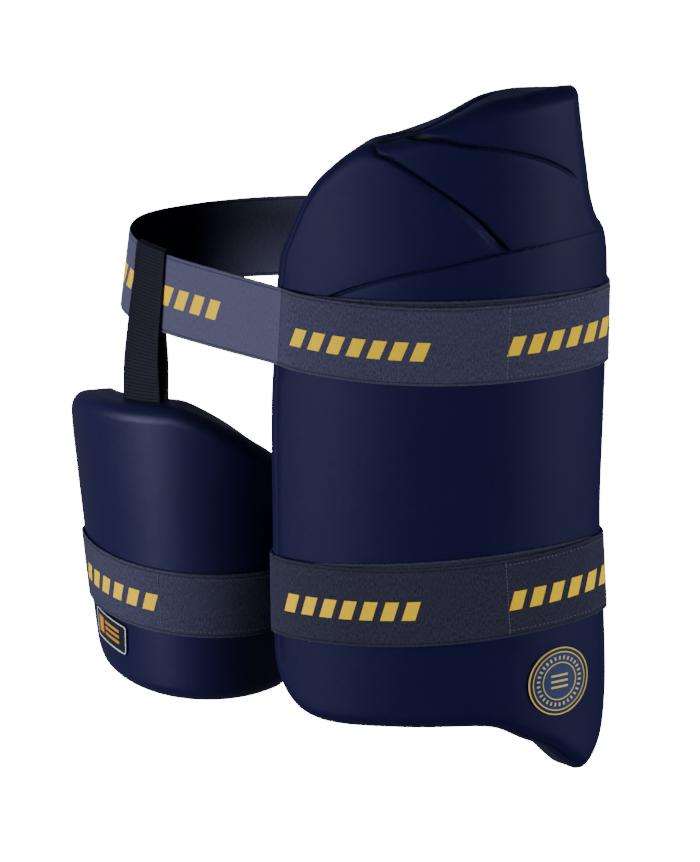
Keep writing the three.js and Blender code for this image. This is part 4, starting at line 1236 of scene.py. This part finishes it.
def badge_material():
    """Moulded rubber: blue in its middle and its band, near black between the outer rings, and gold on
    the rings, on thirty ticks round the band and on three level bars."""
    material, tree, shader = new_material("badge_rubber", 0.45, 0.25)
    where, x, y = pattern_xy(tree)
    size = badge["radius"]
    radius = maths(tree, "DIVIDE", radius_of(tree, x, y), size)
    turns = maths(tree, "DIVIDE", maths(tree, "ARCTAN2", y, x), 2 * math.pi / badge_ticks)
    turns = maths(tree, "FRACT", maths(tree, "ADD", turns, 2 * badge_ticks))
    tick = maths(tree, "LESS_THAN", maths(tree, "ABSOLUTE", maths(tree, "SUBTRACT", turns, 0.5)), tick_half)
    golds = [maths(tree, "MULTIPLY", tick, between(tree, radius, *tick_band))]
    golds += [between(tree, radius, *ring) for ring in badge_rings]
    golds += [
        box_mask(tree, x, y, -bar_half * size, bar_half * size, low * size, (low + bar_height) * size)
        for low in bar_feet
    ]
    gold = maths(tree, "MAXIMUM", *golds)
    dark = between(tree, radius, badge_rings[1][1], badge_rings[0][0])
    grain = noise_at(tree, where, 0.0009)
    blue = mixed(tree, grain, (0.0008, 0.014, 0.075), (0.0016, 0.024, 0.105))
    ground = mixed(tree, dark, blue, (0.0025, 0.004, 0.012))
    bright = mixed(tree, grain, (0.56, 0.41, 0.10), (0.74, 0.58, 0.20))
    feed(tree, shader.inputs["Base Color"], mixed(tree, gold, ground, bright))
    rough = maths(tree, "SUBTRACT", 0.46, maths(tree, "MULTIPLY", gold, 0.12))
    feed(tree, shader.inputs["Roughness"], rough)
    bumped(tree, shader, weighed(tree, (gold, 1), (grain, 0.12)), 0.00018)
    return material


badge_round = plate_piece("badge_round", outer_pad, badge, badge_edge, badge_profile(),
                          "round_badge")
badge_round.data.materials.append(badge_material())


# The label: a thin plate of glossy film with rounded corners, pressed on low on the inner pad. It is
# dark, with a silver line round it, an amber block and three plain bars.
label = dict(width=0.0385, tall=0.0205, thickness=0.001, turn=-0.625, height=-0.226, corner=0.0035,
             roll=-6 * degrees)


def label_edge():
    """A rectangle with round corners, from points evenly round each corner and along each side."""
    x, y = label["width"] / 2 - label["corner"], label["tall"] / 2 - label["corner"]
    angle = np.linspace(0, math.pi / 2, 9)
    corners = [(x, y, 0), (-x, y, 1), (-x, -y, 2), (x, -y, 3)]
    edge = np.vstack([
        np.stack([cx + label["corner"] * np.cos(angle + quarter * math.pi / 2),
                  cy + label["corner"] * np.sin(angle + quarter * math.pi / 2)], -1)
        for cx, cy, quarter in corners
    ])
    return points_at(edge, np.arange(120) * run_of(edge, True)[-1] / 120, True)


# Its section from underneath out round its edge and in to the middle, with a low ridge for the silver line:
# shares of the edge and heights.
label_ridge = 0.0001
label_under = [(0.2, 0), (0.6, 0), (0.98, 0), (1, 0.00025), (1, 0.00075)]
label_top = [
    (0.99, 0), (0.975, 0.8), (0.96, 1), (0.94, 1), (0.925, 0.8), (0.91, 0), (0.8, 0), (0.65, 0),
    (0.5, 0), (0.35, 0), (0.2, 0), (0.1, 0),
]
label_profile = np.array(label_under + [
    (share, label["thickness"] - label_ridge + label_ridge * ridge) for share, ridge in label_top
])
cos_roll, sin_roll = math.cos(label["roll"]), math.sin(label["roll"])
rolled_edge = label_edge() @ np.array([[cos_roll, sin_roll], [-sin_roll, cos_roll]])
label_plate = plate_piece("label_plate", inner_pad, label, rolled_edge, label_profile,
                          "side_label")

# Its print: how far in the silver line's two edges lie, the amber block's left, right, foot and top, and
# the bars' ends, feet and height.
silver_line = (0.0016, 0.0007)
amber_block = (-0.0150, -0.0085, -0.0055, 0.0055)
label_bar_ends = (-0.0060, 0.0110)
label_bar_feet = (-0.0048, -0.0010, 0.0028)
label_bar = 0.0020


def label_material():
    """Printed film: a silver line just inside the edge, an amber block and three bars beside it."""
    material, tree, shader = new_material("label_film", 0.28, 0.5)
    where, x, y = pattern_xy(tree)
    along = weighed(tree, (x, cos_roll), (y, sin_roll))
    rise = weighed(tree, (y, cos_roll), (x, -sin_roll))
    corner = label["corner"]
    past_corner = [
        maths(tree, "MAXIMUM", maths(tree, "SUBTRACT", maths(tree, "ABSOLUTE", place), size / 2 - corner), 0)
        for place, size in ((along, label["width"]), (rise, label["tall"]))
    ]
    line = between(tree, radius_of(tree, *past_corner), *[corner - inset for inset in silver_line])
    amber = box_mask(tree, along, rise, *amber_block)
    bars = maths(tree, "MAXIMUM", *[
        box_mask(tree, along, rise, *label_bar_ends, low, low + label_bar) for low in label_bar_feet
    ])
    grain = noise_at(tree, where, 0.0015)
    colour = mixed(tree, grain, (0.003, 0.006, 0.016), (0.008, 0.014, 0.026))
    colour = mixed(tree, amber, colour, (0.62, 0.27, 0.02))
    colour = mixed(tree, bars, colour, (0.50, 0.24, 0.03))
    colour = mixed(tree, line, colour, (0.55, 0.58, 0.66))
    feed(tree, shader.inputs["Base Color"], colour)
    bumped(tree, shader, weighed(tree, (line, 1), (grain, 0.1)), 0.0001)
    return material


label_plate.data.materials.append(label_material())


# The studio: a white floor well below the guard, which glows by itself, and a soft light at each side for
# the upright highlights on the pads. Small ones light the pads' low left and the hip, and the ones
# overhead and behind leave no highlight.
floor_height = -0.45
floor_mesh = bpy.data.meshes.new("floor")
floor_mesh.from_pydata([(-9, -9, floor_height), (9, -9, floor_height), (9, 14, floor_height),
                        (-9, 14, floor_height)], [], [(0, 1, 2, 3)])
floor = bpy.data.objects.new("floor", floor_mesh)
bpy.context.scene.collection.objects.link(floor)
floor.visible_diffuse = False
floor.visible_glossy = False
floor_paint, _, floor_shader = new_material("floor_paint", 0.9, 0.5)
floor_shader.inputs["Base Color"].default_value = (0.8, 0.8, 0.8, 1)
floor_shader.inputs["Emission Color"].default_value = (1, 1, 1, 1)
floor_shader.inputs["Emission Strength"].default_value = 16
floor_mesh.materials.append(floor_paint)

world = bpy.data.worlds.new("studio")
world.use_nodes = True
world.node_tree.nodes["Background"].inputs[0].default_value = (1, 1, 1, 1)
world.node_tree.nodes["Background"].inputs[1].default_value = 0.12
bpy.context.scene.world = world


def soft_light(name, azimuth, elevation, distance, size, power, target=(0, 0, -0.05), shines=True,
               fills=True):
    """An oblong soft light, aimed at a point from an azimuth measured like the camera's. One that does
    not shine leaves no highlight of its own, and one that does not fill leaves nothing else."""
    a, e = azimuth * degrees, elevation * degrees
    back = Vector((math.sin(a) * math.cos(e), -math.cos(a) * math.cos(e), math.sin(e)))
    data = bpy.data.lights.new(name, "AREA")
    data.shape = "RECTANGLE"
    data.size, data.size_y = size
    data.energy = power
    lamp = bpy.data.objects.new(name, data)
    lamp.location = back * distance + Vector(target)
    lamp.rotation_mode = "QUATERNION"
    lamp.rotation_quaternion = back.to_track_quat("Z", "Y")
    lamp.visible_glossy = shines
    lamp.visible_diffuse = fills
    bpy.context.scene.collection.objects.link(lamp)


soft_light("left_light", -48, 2, 2.2, (0.8, 0.9), 36)
soft_light("right_light", 90, -2, 2.2, (0.3, 0.6), 40)
soft_light("top_light", 10, 72, 2.2, (1.6, 1.6), 10, shines=False)
soft_light("low_left_light", -14, -8, 0.95, (0.3, 0.3), 4.8, (-0.35, 0, -0.15))
soft_light("hip_light", -12, -10, 0.8, (0.4, 0.3), 2.4, (0.03, 0, 0.16), fills=False)
soft_light("back_light", 205, 25, 2.4, (1.4, 1.4), 30, shines=False)
